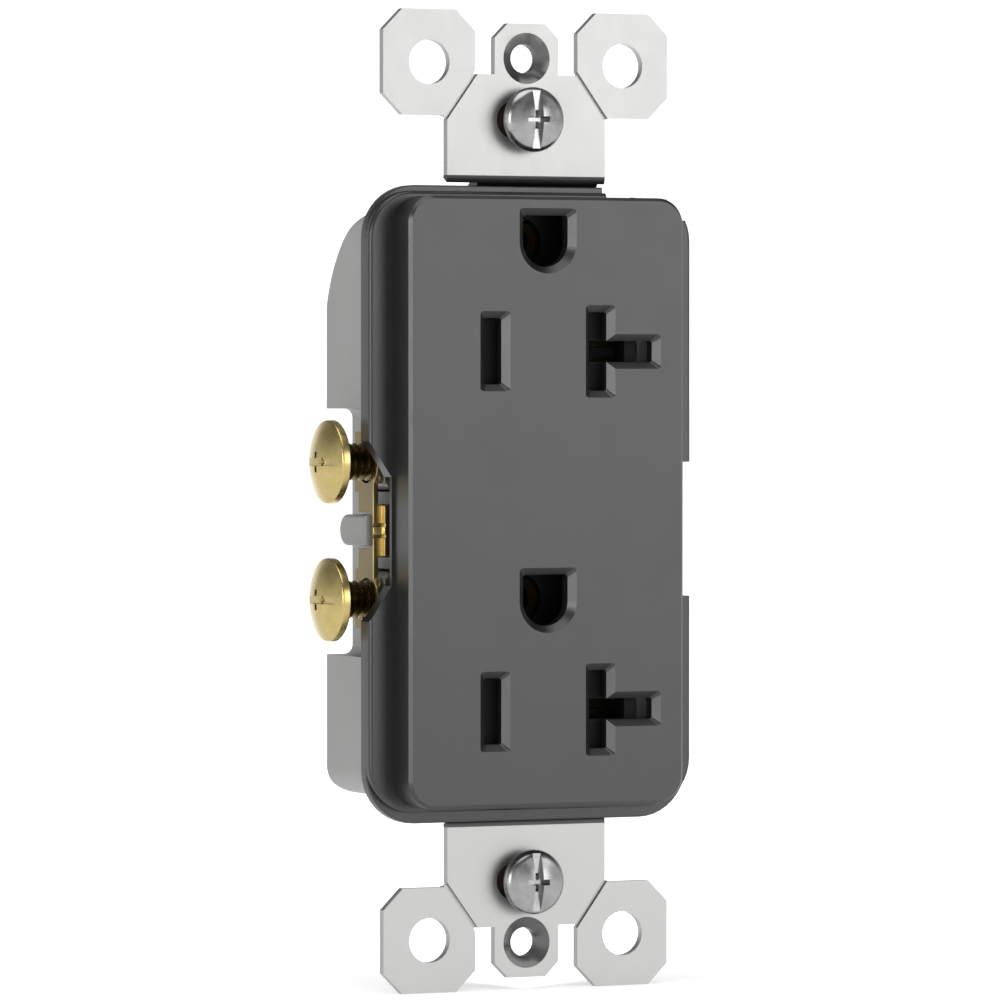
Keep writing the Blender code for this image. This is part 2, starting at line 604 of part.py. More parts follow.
# ---- back body
def make_body(material):
    outline = rounded((-BODY_SIDE, BODY_SIDE), (-BODY_END, BODY_END), BODY_CORNER)
    solids = [loft(outline, "Y", [(WEB_FRONT, 0), (BODY_DEPTH - BODY_EDGE, 0), (BODY_DEPTH, BODY_EDGE)])]
    body = piece("back_body", material, solids, room_cuts())
    bosses = []
    holes = []
    for x, z, seat in boss_places().values():
        bosses.append(cylinder("Y", (x, z), BOSS_DIAMETER, WEB_FRONT, BODY_DEPTH - BODY_EDGE))
        holes.append(cylinder("Y", (x, z), ASSEMBLY_SHANK + 2 * GAP, -CLEAR, BODY_DEPTH + CLEAR, 12))
        holes.append(cylinder("Y", (x, z), ASSEMBLY_HEAD + 2 * GAP, seat, BODY_DEPTH + CLEAR, 16))
    boolean(body, bosses, "UNION")
    outside = shoulder_cuts() + recess_cuts() + ground_corner()
    boolean(body, outside + holes, "DIFFERENCE")
    return body


def shoulder_arc(radius):
    centre = (-SHOULDER_FORWARD, SHOULDER_Z)
    return arc(centre, radius, 0, 90, 16)


def shoulder_cuts():
    """The top corners fall away in a large arc so that the body tips into its box; the ends are rounded."""
    far = (BODY_DEPTH + CLEAR, BODY_END + CLEAR)
    curve = shoulder_arc(SHOULDER_RADIUS)
    outline = [(far[0], SHOULDER_Z)] + [far, (-SHOULDER_FORWARD, far[1])] + curve[::-1]
    cuts = [prism(outline, "X", side * SPINE_HALF, side * (BODY_SIDE + CLEAR)) for side in (-1, 1)]
    for sign in (-1, 1):
        round_end = arc((BODY_DEPTH - BODY_CORNER, BODY_END - BODY_CORNER), BODY_CORNER, 0, 90, 5)
        corner = [(far[0], BODY_END - BODY_CORNER), far, (BODY_DEPTH - BODY_CORNER, far[1])] + round_end[::-1]
        cuts.append(prism(mirrored(corner, sign), "X", -BODY_SIDE - CLEAR, BODY_SIDE + CLEAR))
    return cuts


def recess_cuts():
    """The side recess for the terminals, with the barrier rib left standing between them."""
    cuts = []
    top = NOTCH_CENTRE + RECESS_TOP
    bottom = NOTCH_CENTRE - RECESS_BOTTOM
    rib = (NOTCH_CENTRE - RIB_HEIGHT / 2, NOTCH_CENTRE + RIB_HEIGHT / 2)
    middle = (rib[0] - LAP, rib[1] + LAP)
    depth = (-CLEAR, BODY_DEPTH + CLEAR)
    for side in (-1, 1):
        wide = (side * RECESS_SIDE, side * (BODY_SIDE + CLEAR))
        cuts.append(box(wide, depth, (rib[1], top)))
        cuts.append(box(wide, depth, (bottom, rib[0])))
        cuts.append(box((side * (BODY_SIDE - RIB_INSET), side * (BODY_SIDE + CLEAR)), depth, middle))
        cuts.append(box(wide, (RIB_BACK, BODY_DEPTH + CLEAR), middle))
    return cuts


def room_cuts():
    """The rooms inside: the middle channel, a room for each contact, and the way in for the strap's web."""
    depth = (-CLEAR, BODY_FLOOR)
    shallow = (-CLEAR, WEB_FLOOR)
    inside = BODY_END - BODY_WALL
    pad = PAD_WIDTH / 2 + GAP
    cuts = [box((-CHANNEL_HALF, CHANNEL_HALF), depth, (-inside, inside)),
            box((-pad, pad), shallow, (-BODY_END + LAP, BODY_END - LAP)),
            box((-NECK_LEFT - GAP, GROUND_TAB_REACH + GAP), shallow, (GROUND_TAB_LOW - GAP, BODY_END + CLEAR)),
            box((-NECK_LEFT - GAP, NECK_RIGHT_BOTTOM + GAP), shallow,
                (-inside + LAP + PAD_HEIGHT / 2, -BODY_END - CLEAR))]
    inner_arc = shoulder_arc(SHOULDER_RADIUS - BODY_WALL)
    room_top = NOTCH_CENTRE + RECESS_TOP + BODY_WALL
    room_bottom = NOTCH_CENTRE - RECESS_BOTTOM - BODY_WALL
    upper = [(-CLEAR, room_top)] + [(BODY_FLOOR, room_top)] + [
        (min(y, BODY_FLOOR), z) for y, z in inner_arc if z > room_top] + [(-CLEAR, inner_arc[-1][1])]
    start = CHANNEL_HALF + PARTITION
    for side in (-1, 1):
        cuts.append(box((side * start, side * CONTACT_ROOM), depth,
                        (-inside, OUTLETS["upper"] + GRIP_HALF + 2 * LAP)))
        cuts.append(box((side * start, side * (RECESS_SIDE - BODY_WALL)), depth,
                        (room_bottom - LAP, room_top + LAP)))
        cuts.append(prism(upper, "X", *sorted((side * (CONTACT_ROOM - LAP), side * (BODY_SIDE - BODY_WALL)))))
        cuts.append(box((side * start, side * (BODY_SIDE - BODY_WALL)), depth, (-inside, room_bottom)))
        for z in TERMINALS.values():
            reach = CLAMP_HALF + GAP
            cuts.append(box((side * CONTACT_ROOM, side * (BODY_SIDE + CLEAR)),
                            (TERMINAL_DEPTH - reach, TERMINAL_DEPTH + reach), (z - reach, z + reach)))
            cuts.append(cylinder("X", (TERMINAL_DEPTH, z), SCREW_SHANK + 2 * GAP,
                                 *sorted((side * CONTACT_ROOM, side * BODY_SIDE))))
        arm = ARM_HALF + GAP
        cuts.append(box((side * CONTACT_ROOM, side * (BODY_SIDE + CLEAR)),
                        (-CLEAR, TERMINAL_FRONT + BUS_THICKNESS + GAP),
                        (NOTCH_CENTRE - arm, NOTCH_CENTRE + arm)))
    return cuts


def ground_corner():
    """The corner that the ground tab and its screw stand in."""
    screw_z = FACE_END - GROUND_SCREW_DROP
    height = (GROUND_TAB_LOW - GAP, BODY_END + CLEAR)
    return [box((GROUND_TAB_REACH - STRAP_THICKNESS - GAP, BODY_SIDE + CLEAR), (-CLEAR, BODY_DEPTH + CLEAR),
                height),
            box((SPINE_HALF, GROUND_TAB_REACH + GAP), (-CLEAR, WEB_FLOOR), height),
            cylinder("X", (GROUND_SCREW_DEPTH, screw_z), GROUND_SHANK + 2 * GAP,
                     GROUND_TAB_REACH - 2 * CLEAR, GROUND_TAB_REACH)]


# ---- contacts
def grip_outline(x, width, floor, mouth):
    """Edge view of one leaf that leans in to grip a blade and flares out at its mouth."""
    inward = math.copysign(1, width)
    lip = mouth + 2 * LAP
    return [(x, floor), (x, lip + 2 * LAP), (x + inward * MOUTH_FLARE, lip), (x - inward * GAP, mouth),
            (x - inward * GAP - width, mouth), (x + inward * MOUTH_FLARE - width, lip + GAP / 2),
            (x - width, lip + 2 * LAP), (x - width, floor)]


def blade_grips(side, z, floor):
    """The two leaves that take one blade."""
    mouth = WEB_FLOOR + GAP
    leaves = []
    for turn in (-1, 1):
        inner = side * BLADE_OFFSET + turn * (BLADE_GRIP / 2 + MOUTH_FLARE)
        outline = grip_outline(inner, -turn * SHEET, floor, mouth)
        leaves.append(prism(outline, "Z", z - GRIP_HALF, z + GRIP_HALF))
    return leaves


def make_strip(name, side, material):
    """One stamped current strip: base, grips, riser, and the terminal plates joined by a break-off link."""
    base = BODY_FLOOR - GAP
    rear = base - BUS_THICKNESS
    inner = CHANNEL_HALF + PARTITION + GAP
    top = OUTLETS["upper"] + GRIP_HALF
    bottom = OUTLETS["lower"] - GRIP_HALF
    solids = [box((side * inner, side * BUS_OUTER), (rear, base), (bottom, top))]
    for blade in OUTLETS.values():
        solids += blade_grips(side, blade, base - LAP / 4)
        if side > 0:
            solids += sideways_grips(blade, rear)
    bridge = (NOTCH_CENTRE - BRIDGE_HALF, NOTCH_CENTRE + BRIDGE_HALF)
    arm = (NOTCH_CENTRE - ARM_HALF, NOTCH_CENTRE + ARM_HALF)
    riser = side * (CONTACT_ROOM + 2 * LAP)
    solids.append(box((side * (BUS_OUTER - LAP), riser), (rear, base), arm))
    solids.append(box((riser - side * SHEET, riser), (TERMINAL_FRONT, base), arm))
    solids.append(box((riser - side * SHEET, side * TERMINAL_SIDE),
                      (TERMINAL_FRONT, TERMINAL_FRONT + BUS_THICKNESS), arm))
    plate = (side * TERMINAL_INNER, side * TERMINAL_SIDE)
    solids.append(box(plate, (TERMINAL_FRONT, TERMINAL_BACK), bridge))
    fin = (NOTCH_CENTRE - FIN_HALF, NOTCH_CENTRE + FIN_HALF)
    fin_x = side * (TERMINAL_INNER - LAP)
    solids.append(box((fin_x, fin_x + side * SHEET), (FIN_FRONT, TERMINAL_FRONT + BUS_THICKNESS / 2), fin))
    rib = RIB_HEIGHT / 2 + GAP
    through = (side * (TERMINAL_INNER - LAP / 2), side * (TERMINAL_SIDE + LAP))
    cuts = [box(through, (TERMINAL_FRONT + BUS_THICKNESS, TERMINAL_BACK + LAP),
                (NOTCH_CENTRE - rib, NOTCH_CENTRE + rib))]
    for z in TERMINALS.values():
        half = TERMINAL_HALF
        solids.append(box(plate, (TERMINAL_DEPTH - TERMINAL_AHEAD, TERMINAL_DEPTH + TERMINAL_BEHIND),
                          (z - half, z + half)))
        solids.append(cylinder("X", (TERMINAL_DEPTH, z), SCREW_SHANK + 2 * (GAP + SHEET), *sorted(plate)))
        cuts.append(cylinder("X", (TERMINAL_DEPTH, z), SCREW_SHANK + 2 * GAP, *sorted(through)))
    for turn in (-1, 1):
        slit = NOTCH_CENTRE + turn * LINK_HALF
        cuts.append(box(through, (TERMINAL_FRONT - LAP, TERMINAL_FRONT + BUS_THICKNESS / 2),
                        (slit - LINK_SLIT / 2, slit + LINK_SLIT / 2)))
    return piece(name, material, solids, cuts)


def sideways_grips(blade, rear):
    """The extra pair of leaves on the neutral strip, for a blade turned sideways."""
    left = BUS_OUTER + LAP / 2
    right = BLADE_OFFSET + ARM_REACH
    half = BLADE_GRIP / 2 + GAP
    leaves = [box((BUS_OUTER - LAP, right), (rear - GAP, rear + BUS_THICKNESS - GAP),
                  (blade - half, blade + half))]
    for turn in (-1, 1):
        inner = blade + turn * BLADE_GRIP / 2
        leaves.append(box((left, right), (WEB_FLOOR + 2 * LAP, rear + BUS_THICKNESS / 2),
                          (inner, inner + turn * SHEET)))
    return leaves


def make_ground_contact(name, blade, material):
    """A clip behind the web that takes the round ground pin."""
    ground = blade + GROUND_ABOVE_BLADE
    front = WEB_BACK + GAP
    half = GROUND_GRIP / 2
    wide = half + SHEET
    solids = [box((-wide, wide), (front, front + SHEET),
                  (ground - RIVET_DROP - 2 * LAP, ground + GROUND_GRIP_HALF))]
    for side in (-1, 1):
        solids.append(box((side * half, side * wide), (front + SHEET / 2, BODY_FLOOR - GROUND_GRIP_CLEAR),
                          (ground - GROUND_GRIP_HALF, ground + GROUND_GRIP_HALF)))
    cuts = [cylinder("Y", (0, ground), GROUND_GRIP - 2 * GAP, front - LAP, front + LAP, 20),
            cylinder("Y", (0, ground - RIVET_DROP), RIVET_SHANK + 2 * GAP, front - LAP, front + LAP)]
    return piece(name, material, solids, cuts)


def make_rivet(name, blade, material):
    """A rivet through web and ground contact; its heads stand off both by the clearance."""
    z = blade + GROUND_ABOVE_BLADE - RIVET_DROP
    front = WEB_FRONT - GAP
    back = WEB_BACK + 2 * GAP + SHEET
    head = RIVET_HEAD / 2
    shank = RIVET_SHANK / 2
    levels = [(front - RIVET_HEAD_HEIGHT, head * 0.55), (front - RIVET_HEAD_HEIGHT / 2, head * 0.9), (front, head),
              (front, shank), (back, shank), (back, head * 0.85), (back + RIVET_HEAD_HEIGHT, head * 0.85)]
    return piece(name, material, [turned("Y", (0, z), levels, 12)])


# ---- screws
def screw_levels(seat, outward, head, height, edge, shank, length):
    """Outline of a round-edged screw: head outwards from its seat, thread inwards."""
    curve = [(seat + outward * (height - edge + edge * math.sin(a)), head / 2 - edge * (1 - math.cos(a)))
             for a in (math.pi / 2 * i / 3 for i in range(4))]
    tip = seat - outward * length
    return [(tip, shank / 2 - GAP), (tip + outward * GAP, shank / 2), (seat, shank / 2), (seat, head / 2)] + curve


def make_screw(name, axis, centre, seat, outward, sizes, material, slot_axis, cross=False):
    """A screw whose head faces outward along an axis, slotted across its head."""
    head, height, edge, shank, length = sizes
    solids = [turned(axis, centre, screw_levels(seat, outward, head, height, edge, shank, length), 18)]
    top = seat + outward * height
    depth = sorted((top - outward * SLOT_IN_HEAD_DEPTH, top + outward * LAP))
    long_side = (-head, head)
    short_side = (-SLOT_IN_HEAD / 2, SLOT_IN_HEAD / 2)
    spans = {"u": (long_side, short_side), "v": (short_side, long_side)}
    outlines = [spans[slot_axis]]
    if cross:
        outlines.append(((-head / 4, head / 4), short_side))
    cuts = []
    for u, v in outlines:
        corners = [(centre[0] + a, centre[1] + b) for a, b in
                   ((u[0], v[0]), (u[1], v[0]), (u[1], v[1]), (u[0], v[1]))]
        cuts.append(prism(corners, axis, *depth))
    return piece(name, material, solids, cuts, origin=place(axis, centre[0], centre[1], seat))


def make_terminal(side_name, height, side, z, finishes):
    """One clamp and the screw that pulls it up against the terminal plate."""
    outer = side * (TERMINAL_INNER - GAP)
    inner = outer - side * CLAMP_THICKNESS
    half = CLAMP_HALF
    low, high = sorted((inner, outer))
    depth = (TERMINAL_DEPTH - half, TERMINAL_DEPTH + half)
    clamp = prism(rounded(depth, (z - half, z + half), LAP, 3), "X", low, high)
    hole = cylinder("X", (TERMINAL_DEPTH, z), SCREW_SHANK + 2 * GAP, low - LAP, high + LAP)
    grooves = [cylinder("Y", (outer, z + spread), LAP, depth[0] - LAP, depth[1] + LAP, 8)
               for spread in (-WIRE_SPREAD + LAP / 2, WIRE_SPREAD - LAP / 2)]
    piece(f"clamp_{side_name}_{height}", finishes["steel"], [clamp], [hole] + grooves,
          origin=(outer, TERMINAL_DEPTH, z))
    backed_out = BACKED_OUT[side_name]
    seat = side * (TERMINAL_SIDE + backed_out)
    length = backed_out + TERMINAL_THICKNESS + GAP + CLAMP_THICKNESS + SCREW_REACH
    make_screw(f"terminal_screw_{side_name}_{height}", "X", (TERMINAL_DEPTH, z), seat, side,
               (SCREW_HEAD, SCREW_HEAD_HEIGHT, SCREW_HEAD_EDGE, SCREW_SHANK, length),
               finishes["brass" if side < 0 else "nickel"], "u", cross=True)


def make_mounting_screw(name, sign, finishes):
    """A box screw held in the strap's slot by a square retainer behind the strap."""
    z = sign * MOUNT_Z
    seat = -STRAP_THICKNESS - MOUNT_STANDOFF
    make_screw(f"mounting_screw_{name}", "Y", (0, z), seat, -1,
               (MOUNT_HEAD, MOUNT_HEAD_HEIGHT, MOUNT_HEAD_HEIGHT * 0.7, MOUNT_SHANK, MOUNT_LENGTH - seat),
               finishes["zinc"], "v", cross=True)
    half = RETAINER_SIZE / 2
    outline = rounded((-half, half), (z - half, z + half), LAP, 3)
    back = GAP + RETAINER_THICKNESS
    hole = cylinder("Y", (0, z), MOUNT_SHANK + 2 * GAP, -LAP, back + LAP)
    piece(f"screw_retainer_{name}", finishes["fibre"], [prism(outline, "Y", GAP, back)], [hole],
          origin=(0, GAP, z))


# ---- shutters
def make_shutter(name, blade, finishes):
    """A sliding shutter with its windows one travel to the left of the slots, its guide and its spring."""
    outwards = 1 if blade > OUTLET_CENTRE else -1
    span = (blade + outwards * SHUTTER_OUTER, blade - outwards * SHUTTER_INNER)
    slider = box((-SHUTTER_LEFT, SHUTTER_RIGHT), (SHUTTER_FRONT, SHUTTER_BACK), span)
    depth = (SHUTTER_FRONT - LAP, SHUTTER_BACK + LAP)
    cuts = [prism(slot_outline(-BLADE_OFFSET - SHUTTER_TRAVEL, blade, HOT_SLOT), "Y", *depth),
            prism(tee_outline(BLADE_OFFSET - SHUTTER_TRAVEL, blade), "Y", *depth)]
    post_z = BOSS_TOP_Z if outwards > 0 else BOSS_BOTTOM_Z
    post_side = BOSS_X - POST_DIAMETER / 2 - GAP
    beside_posts = (post_z - outwards * (POST_DIAMETER / 2 + GAP), blade + outwards * (SHUTTER_OUTER + CLEAR))
    cuts.append(box((-SHUTTER_LEFT - LAP, -post_side), depth, beside_posts))
    cuts.append(box((post_side - SHUTTER_TRAVEL, SHUTTER_RIGHT + LAP), depth, beside_posts))
    pocket = SPRING_DIAMETER / 2 + GAP
    spring_z = blade - outwards * SPRING_FROM_BLADE
    spring_y = (SHUTTER_FRONT + SHUTTER_BACK) / 2
    spring_end = CAVITY_SIDE - GAP
    spring_start = spring_end - SPRING_LENGTH
    cuts.append(box((spring_start - GAP, SHUTTER_RIGHT + LAP), (spring_y - pocket, SHUTTER_BACK + LAP),
                    (spring_z - pocket, spring_z + pocket)))
    piece(f"shutter_{name}", finishes["shutter"], [slider], cuts, origin=(0, spring_y, blade))

    reach = CAVITY_SIDE - GAP
    guide = box((-reach, reach), (GUIDE_FRONT, GUIDE_BACK), span)
    cuts = [prism(outline, "Y", GUIDE_FRONT - LAP, GUIDE_BACK + LAP)
            for outline in outlet_outlines(blade, GAP)[:2]]
    for side in (-1, 1):
        cuts.append(cylinder("Y", (side * BOSS_X, post_z), POST_DIAMETER + 2 * GAP,
                             GUIDE_FRONT - LAP, GUIDE_BACK + LAP))
    piece(f"shutter_guide_{name}", finishes["guide"], [guide], cuts)
    spring = coil(spring_start, spring_end, spring_y, spring_z)
    piece(f"shutter_spring_{name}", finishes["steel"], [spring])


def coil(start, end, y, z, around=8, sides=5):
    """A round wire wound into a helix along X, closed at both ends."""
    radius = (SPRING_DIAMETER - SPRING_WIRE) / 2
    wire = SPRING_WIRE / 2
    first = start + wire
    rise = end - wire - first
    rings = []
    steps = SPRING_TURNS * around
    for step in range(steps + 1):
        angle = 2 * math.pi * step / around
        centre = Vector((first + rise * step / steps, y + radius * math.cos(angle), z + radius * math.sin(angle)))
        outwards = Vector((0, math.cos(angle), math.sin(angle)))
        along = Vector((1, 0, 0))
        turns = [2 * math.pi * i / sides for i in range(sides)]
        rings.append([tuple(centre + outwards * wire * math.cos(t) + along * wire * math.sin(t)) for t in turns])
    return stack(rings)


def make_assembly_screw(name, x, z, seat, material):
    """A thread-forming screw that holds the body to the cover."""
    tip = FACE_BACK + 2 * GAP
    levels = [(tip, ASSEMBLY_SHANK / 2 - GAP), (tip + LAP, ASSEMBLY_SHANK / 2), (seat + GAP, ASSEMBLY_SHANK / 2),
              (seat + GAP, ASSEMBLY_HEAD / 2), (seat + GAP + ASSEMBLY_HEAD_HEIGHT * 0.6, ASSEMBLY_HEAD / 2),
              (seat + GAP + ASSEMBLY_HEAD_HEIGHT, ASSEMBLY_HEAD / 2 - 2 * GAP)]
    top = seat + GAP + ASSEMBLY_HEAD_HEIGHT
    half = SLOT_IN_HEAD / 2
    reach = ASSEMBLY_HEAD / 3
    cuts = [box((x - reach, x + reach), (top - SLOT_IN_HEAD_DEPTH, top + LAP), (z - half, z + half)),
            box((x - half, x + half), (top - SLOT_IN_HEAD_DEPTH, top + LAP), (z - reach, z + reach))]
    piece(f"assembly_screw_{name}", material, [turned("Y", (x, z), levels, 12)], cuts)


def main():
    for item in list(bpy.data.objects):
        bpy.data.objects.remove(item)
    finishes = {
        "cover": finish("graphite_plastic", (0.055, 0.055, 0.056), 0.42, 0.0),
        "body": finish("grey_plastic", (0.33, 0.33, 0.33), 0.5, 0.0),
        "zinc": finish("zinc_plated_steel", (0.72, 0.72, 0.71), 0.38, 1.0),
        "steel": finish("plain_steel", (0.5, 0.5, 0.5), 0.35, 1.0),
        "brass": finish("brass", (0.72, 0.52, 0.24), 0.3, 1.0),
        "nickel": finish("nickel_plate", (0.7, 0.69, 0.66), 0.28, 1.0),
        "green": finish("green_plated_steel", (0.03, 0.22, 0.12), 0.35, 0.8),
        "fibre": finish("vulcanised_fibre", (0.3, 0.08, 0.04), 0.8, 0.0),
        "shutter": finish("shutter_nylon", (0.02, 0.02, 0.021), 0.55, 0.0),
        "guide": finish("guide_nylon", (0.6, 0.6, 0.58), 0.55, 0.0),
    }
    make_cover(finishes["cover"])
    make_body(finishes["body"])
    make_strap(finishes["zinc"])
    for side_name, side in SIDES.items():
        make_strip(f"{side_name}_strip", side, finishes["brass"])
        for height, z in TERMINALS.items():
            make_terminal(side_name, height, side, z, finishes)
    for name, blade in OUTLETS.items():
        make_ground_contact(f"ground_contact_{name}", blade, finishes["brass"])
        make_rivet(f"ground_rivet_{name}", blade, finishes["steel"])
        make_shutter(name, blade, finishes)
    for name, sign in (("upper", 1), ("lower", -1)):
        make_mounting_screw(name, sign, finishes)
    make_screw("ground_screw", "X", (GROUND_SCREW_DEPTH, FACE_END - GROUND_SCREW_DROP),
               GROUND_TAB_REACH + GROUND_BACKED_OUT, 1,
               (GROUND_HEAD, GROUND_HEAD_HEIGHT, GROUND_HEAD_EDGE, GROUND_SHANK, CLEAR), finishes["green"], "u",
               cross=True)
    for name, (x, z, seat) in boss_places().items():
        make_assembly_screw(name, x, z, seat, finishes["steel"])


main()
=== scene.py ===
# %% [markdown]
# A duplex wall receptacle, dressed for the camera.
# The solids and the joints come from the packed part, which stays as it is: every piece made here stands in
# the same place, in metres, with the face looking along -Y and the ground holes on top.
# The pieces that show are modelled again with rounded edges, slots and threads, and every piece gets a finish
# made of shader nodes.

# %% Load the part
import json
import math

import bpy
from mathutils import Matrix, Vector

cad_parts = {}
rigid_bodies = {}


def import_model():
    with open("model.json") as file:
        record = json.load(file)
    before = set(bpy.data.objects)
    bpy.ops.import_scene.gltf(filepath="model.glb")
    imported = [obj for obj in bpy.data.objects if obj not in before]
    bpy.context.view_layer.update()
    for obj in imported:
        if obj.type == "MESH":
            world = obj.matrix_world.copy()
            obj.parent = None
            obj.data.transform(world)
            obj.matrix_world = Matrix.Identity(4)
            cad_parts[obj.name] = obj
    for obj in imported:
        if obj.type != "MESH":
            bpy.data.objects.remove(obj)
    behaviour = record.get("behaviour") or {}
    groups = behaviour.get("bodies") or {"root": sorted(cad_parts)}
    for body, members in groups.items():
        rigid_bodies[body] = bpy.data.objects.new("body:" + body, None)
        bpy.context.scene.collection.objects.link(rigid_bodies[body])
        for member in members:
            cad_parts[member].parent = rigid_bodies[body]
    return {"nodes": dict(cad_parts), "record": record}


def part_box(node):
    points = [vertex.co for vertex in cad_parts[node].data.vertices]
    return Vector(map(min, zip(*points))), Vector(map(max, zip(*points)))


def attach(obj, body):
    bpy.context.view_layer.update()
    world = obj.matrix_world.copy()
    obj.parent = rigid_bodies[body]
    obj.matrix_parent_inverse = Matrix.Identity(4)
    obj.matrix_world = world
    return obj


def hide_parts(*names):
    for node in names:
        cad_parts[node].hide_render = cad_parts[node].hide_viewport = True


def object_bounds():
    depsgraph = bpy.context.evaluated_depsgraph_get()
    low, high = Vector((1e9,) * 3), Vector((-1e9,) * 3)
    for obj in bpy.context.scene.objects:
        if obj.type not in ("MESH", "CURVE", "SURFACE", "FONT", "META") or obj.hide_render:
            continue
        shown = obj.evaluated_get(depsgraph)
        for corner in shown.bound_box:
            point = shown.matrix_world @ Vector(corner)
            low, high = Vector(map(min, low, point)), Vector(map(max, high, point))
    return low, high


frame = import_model()
cad_low, cad_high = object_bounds()
nodes = frame["nodes"]
MM = 0.001
print("CAD box in mm:", [round(v / MM, 2) for v in (*cad_low, *cad_high)], "with", len(nodes), "nodes")

# %% [markdown]
# Camera. The outlet is seen from the left and almost level, through a long lens, so that upright lines stay
# upright. A small sideways shift puts it where the frame wants it without turning the camera.

# %% Camera
AZIMUTH = math.radians(25.479)
ELEVATION = math.radians(0.942)
DISTANCE = 0.7504
back = Vector((-math.sin(AZIMUTH) * math.cos(ELEVATION), -math.cos(AZIMUTH) * math.cos(ELEVATION),
               math.sin(ELEVATION)))
bpy.ops.object.camera_add(location=back * DISTANCE, rotation=(-back).to_track_quat("-Z", "Y").to_euler())
camera = bpy.context.object
camera.name = "camera"
camera.data.lens = 246.4
camera.data.sensor_width = 36.0
camera.data.shift_x = -0.0226
camera.data.shift_y = 0.0007
bpy.context.scene.camera = camera
print("camera at", tuple(round(v, 4) for v in camera.location))

# %% [markdown]
# Studio. The outlet stands on a plain floor under three large soft lamps: one at the front right, where the
# flat face mirrors it, one on the left and one overhead. The sky is set further down, with the finishes.


# %% Floor and lamps
FLOOR_SIZE = 60
ORIGIN = (0, 0, 0)


def soft_lamp(name, place, aim, width, height, brightness):
    """A rectangular lamp at a place, turned to its aim, with a given brightness of its surface."""
    turn = (Vector(aim) - Vector(place)).to_track_quat("-Z", "Y")
    bpy.ops.object.light_add(type="AREA", location=place, rotation=turn.to_euler())
    lamp = bpy.context.object
    lamp.name = name
    lamp.data.shape = "RECTANGLE"
    lamp.data.size = width
    lamp.data.size_y = height
    lamp.data.energy = brightness * math.pi * width * height


bpy.ops.mesh.primitive_plane_add(size=FLOOR_SIZE, location=(0, 0, cad_low.z))
floor = bpy.context.object
floor.name = "floor"
soft_lamp("lamp_right", (0.85, -1.45, 0.10), ORIGIN, 1.1, 1.3, 2.8)
soft_lamp("lamp_left", (-1.7, -0.85, 0.15), ORIGIN, 0.6, 0.9, 8.0)
soft_lamp("lamp_top", (-0.3, -0.4, 1.9), ORIGIN, 1.8, 1.8, 2.0)
bpy.context.scene.view_settings.view_transform = "Standard"

# %% [markdown]
# Shader arithmetic. A pattern is a formula on the place of a point, such as a ring every tenth of a
# millimetre. Wiring that by hand takes a dozen Math nodes, so a small class wraps one socket and lets Python
# write the nodes: `wave * 0.5` adds a Math node, and `node` adds any other kind.


# %% A socket that takes arithmetic
class Signal:
    """One output in a shader's node tree. Arithmetic on it adds Math nodes to that tree."""

    def __init__(self, tree, socket=None):
        self.tree = tree
        self.socket = socket

    def node(self, kind, settings, values, output=0):
        """Any other node: its type, its settings, then the values or links of its sockets."""
        made = self.tree.nodes.new("ShaderNode" + kind)
        for name, value in settings.items():
            if name == "stops":
                set_stops(made.color_ramp, value)
            else:
                setattr(made, name, value)
        for name, value in values.items():
            if isinstance(value, Signal):
                self.tree.links.new(value.socket, made.inputs[name])
            else:
                made.inputs[name].default_value = value
        return Signal(self.tree, made.outputs[output])

    def maths(self, operation, *values):
        """A Math node on numbers or signals."""
        return self.node("Math", {"operation": operation}, dict(enumerate(values)))

    def __add__(self, other):
        return self.maths("ADD", self, other)

    def __sub__(self, other):
        return self.maths("SUBTRACT", self, other)

    def __mul__(self, other):
        return self.maths("MULTIPLY", self, other)

    def __pow__(self, other):
        return self.maths("POWER", self, other)

    __radd__ = __add__


def set_stops(ramp, stops):
    """Stops of a colour ramp as (place, grey) pairs."""
    while len(ramp.elements) < len(stops):
        ramp.elements.new(0.5)
    for element, (place, grey) in zip(ramp.elements, stops):
        element.position = place
        element.color = (grey, grey, grey, 1)


print("operators:", [name for name in vars(Signal) if name.startswith("__")])

# %% [markdown]
# Patterns that several finishes share. Noise from -1 to 1 breaks up a colour. Stretched noise makes the fine
# lines of rolled sheet. Rings round an axis are the marks a lathe leaves on a screw head.


# %% Patterns
def noise(point, size, detail=2.0, stretch=(1, 1, 1)):
    """Noise from -1 to 1 whose grains are about `size` metres across, longer along a stretched axis."""
    scaled = point.node("Mapping", {}, {"Vector": point, "Scale": [1 / (size * s) for s in stretch]})
    grains = point.node("TexNoise", {}, {"Vector": scaled, "Scale": 1.0, "Detail": detail})
    return grains * 2 - 1


def mixed(share, first, second):
    """A colour between two colours."""
    return share.node("Mix", {"data_type": "RGBA"}, {0: share, 6: (*first, 1), 7: (*second, 1)}, 2)


def bumped(height, depth):
    """A bump whose full height is `depth` metres."""
    return height.node("Bump", {}, {"Height": height, "Distance": depth, "Strength": 1.0}, "Normal")


def rings(point, centre, axis, pitch):
    """Distance from an axis through a centre, and a wave in it, from -1 to 1."""
    moved = point.node("Mapping", {}, {"Vector": point, "Location": [-c for c in centre]})
    first, second = [point.node("SeparateXYZ", {}, {"Vector": moved}, i)
                     for i in range(3) if i != "XYZ".index(axis)]
    radius = (first * first + second * second) ** 0.5
    turns = radius * (2 * math.pi / pitch)
    return radius, turns.maths("SINE", turns)


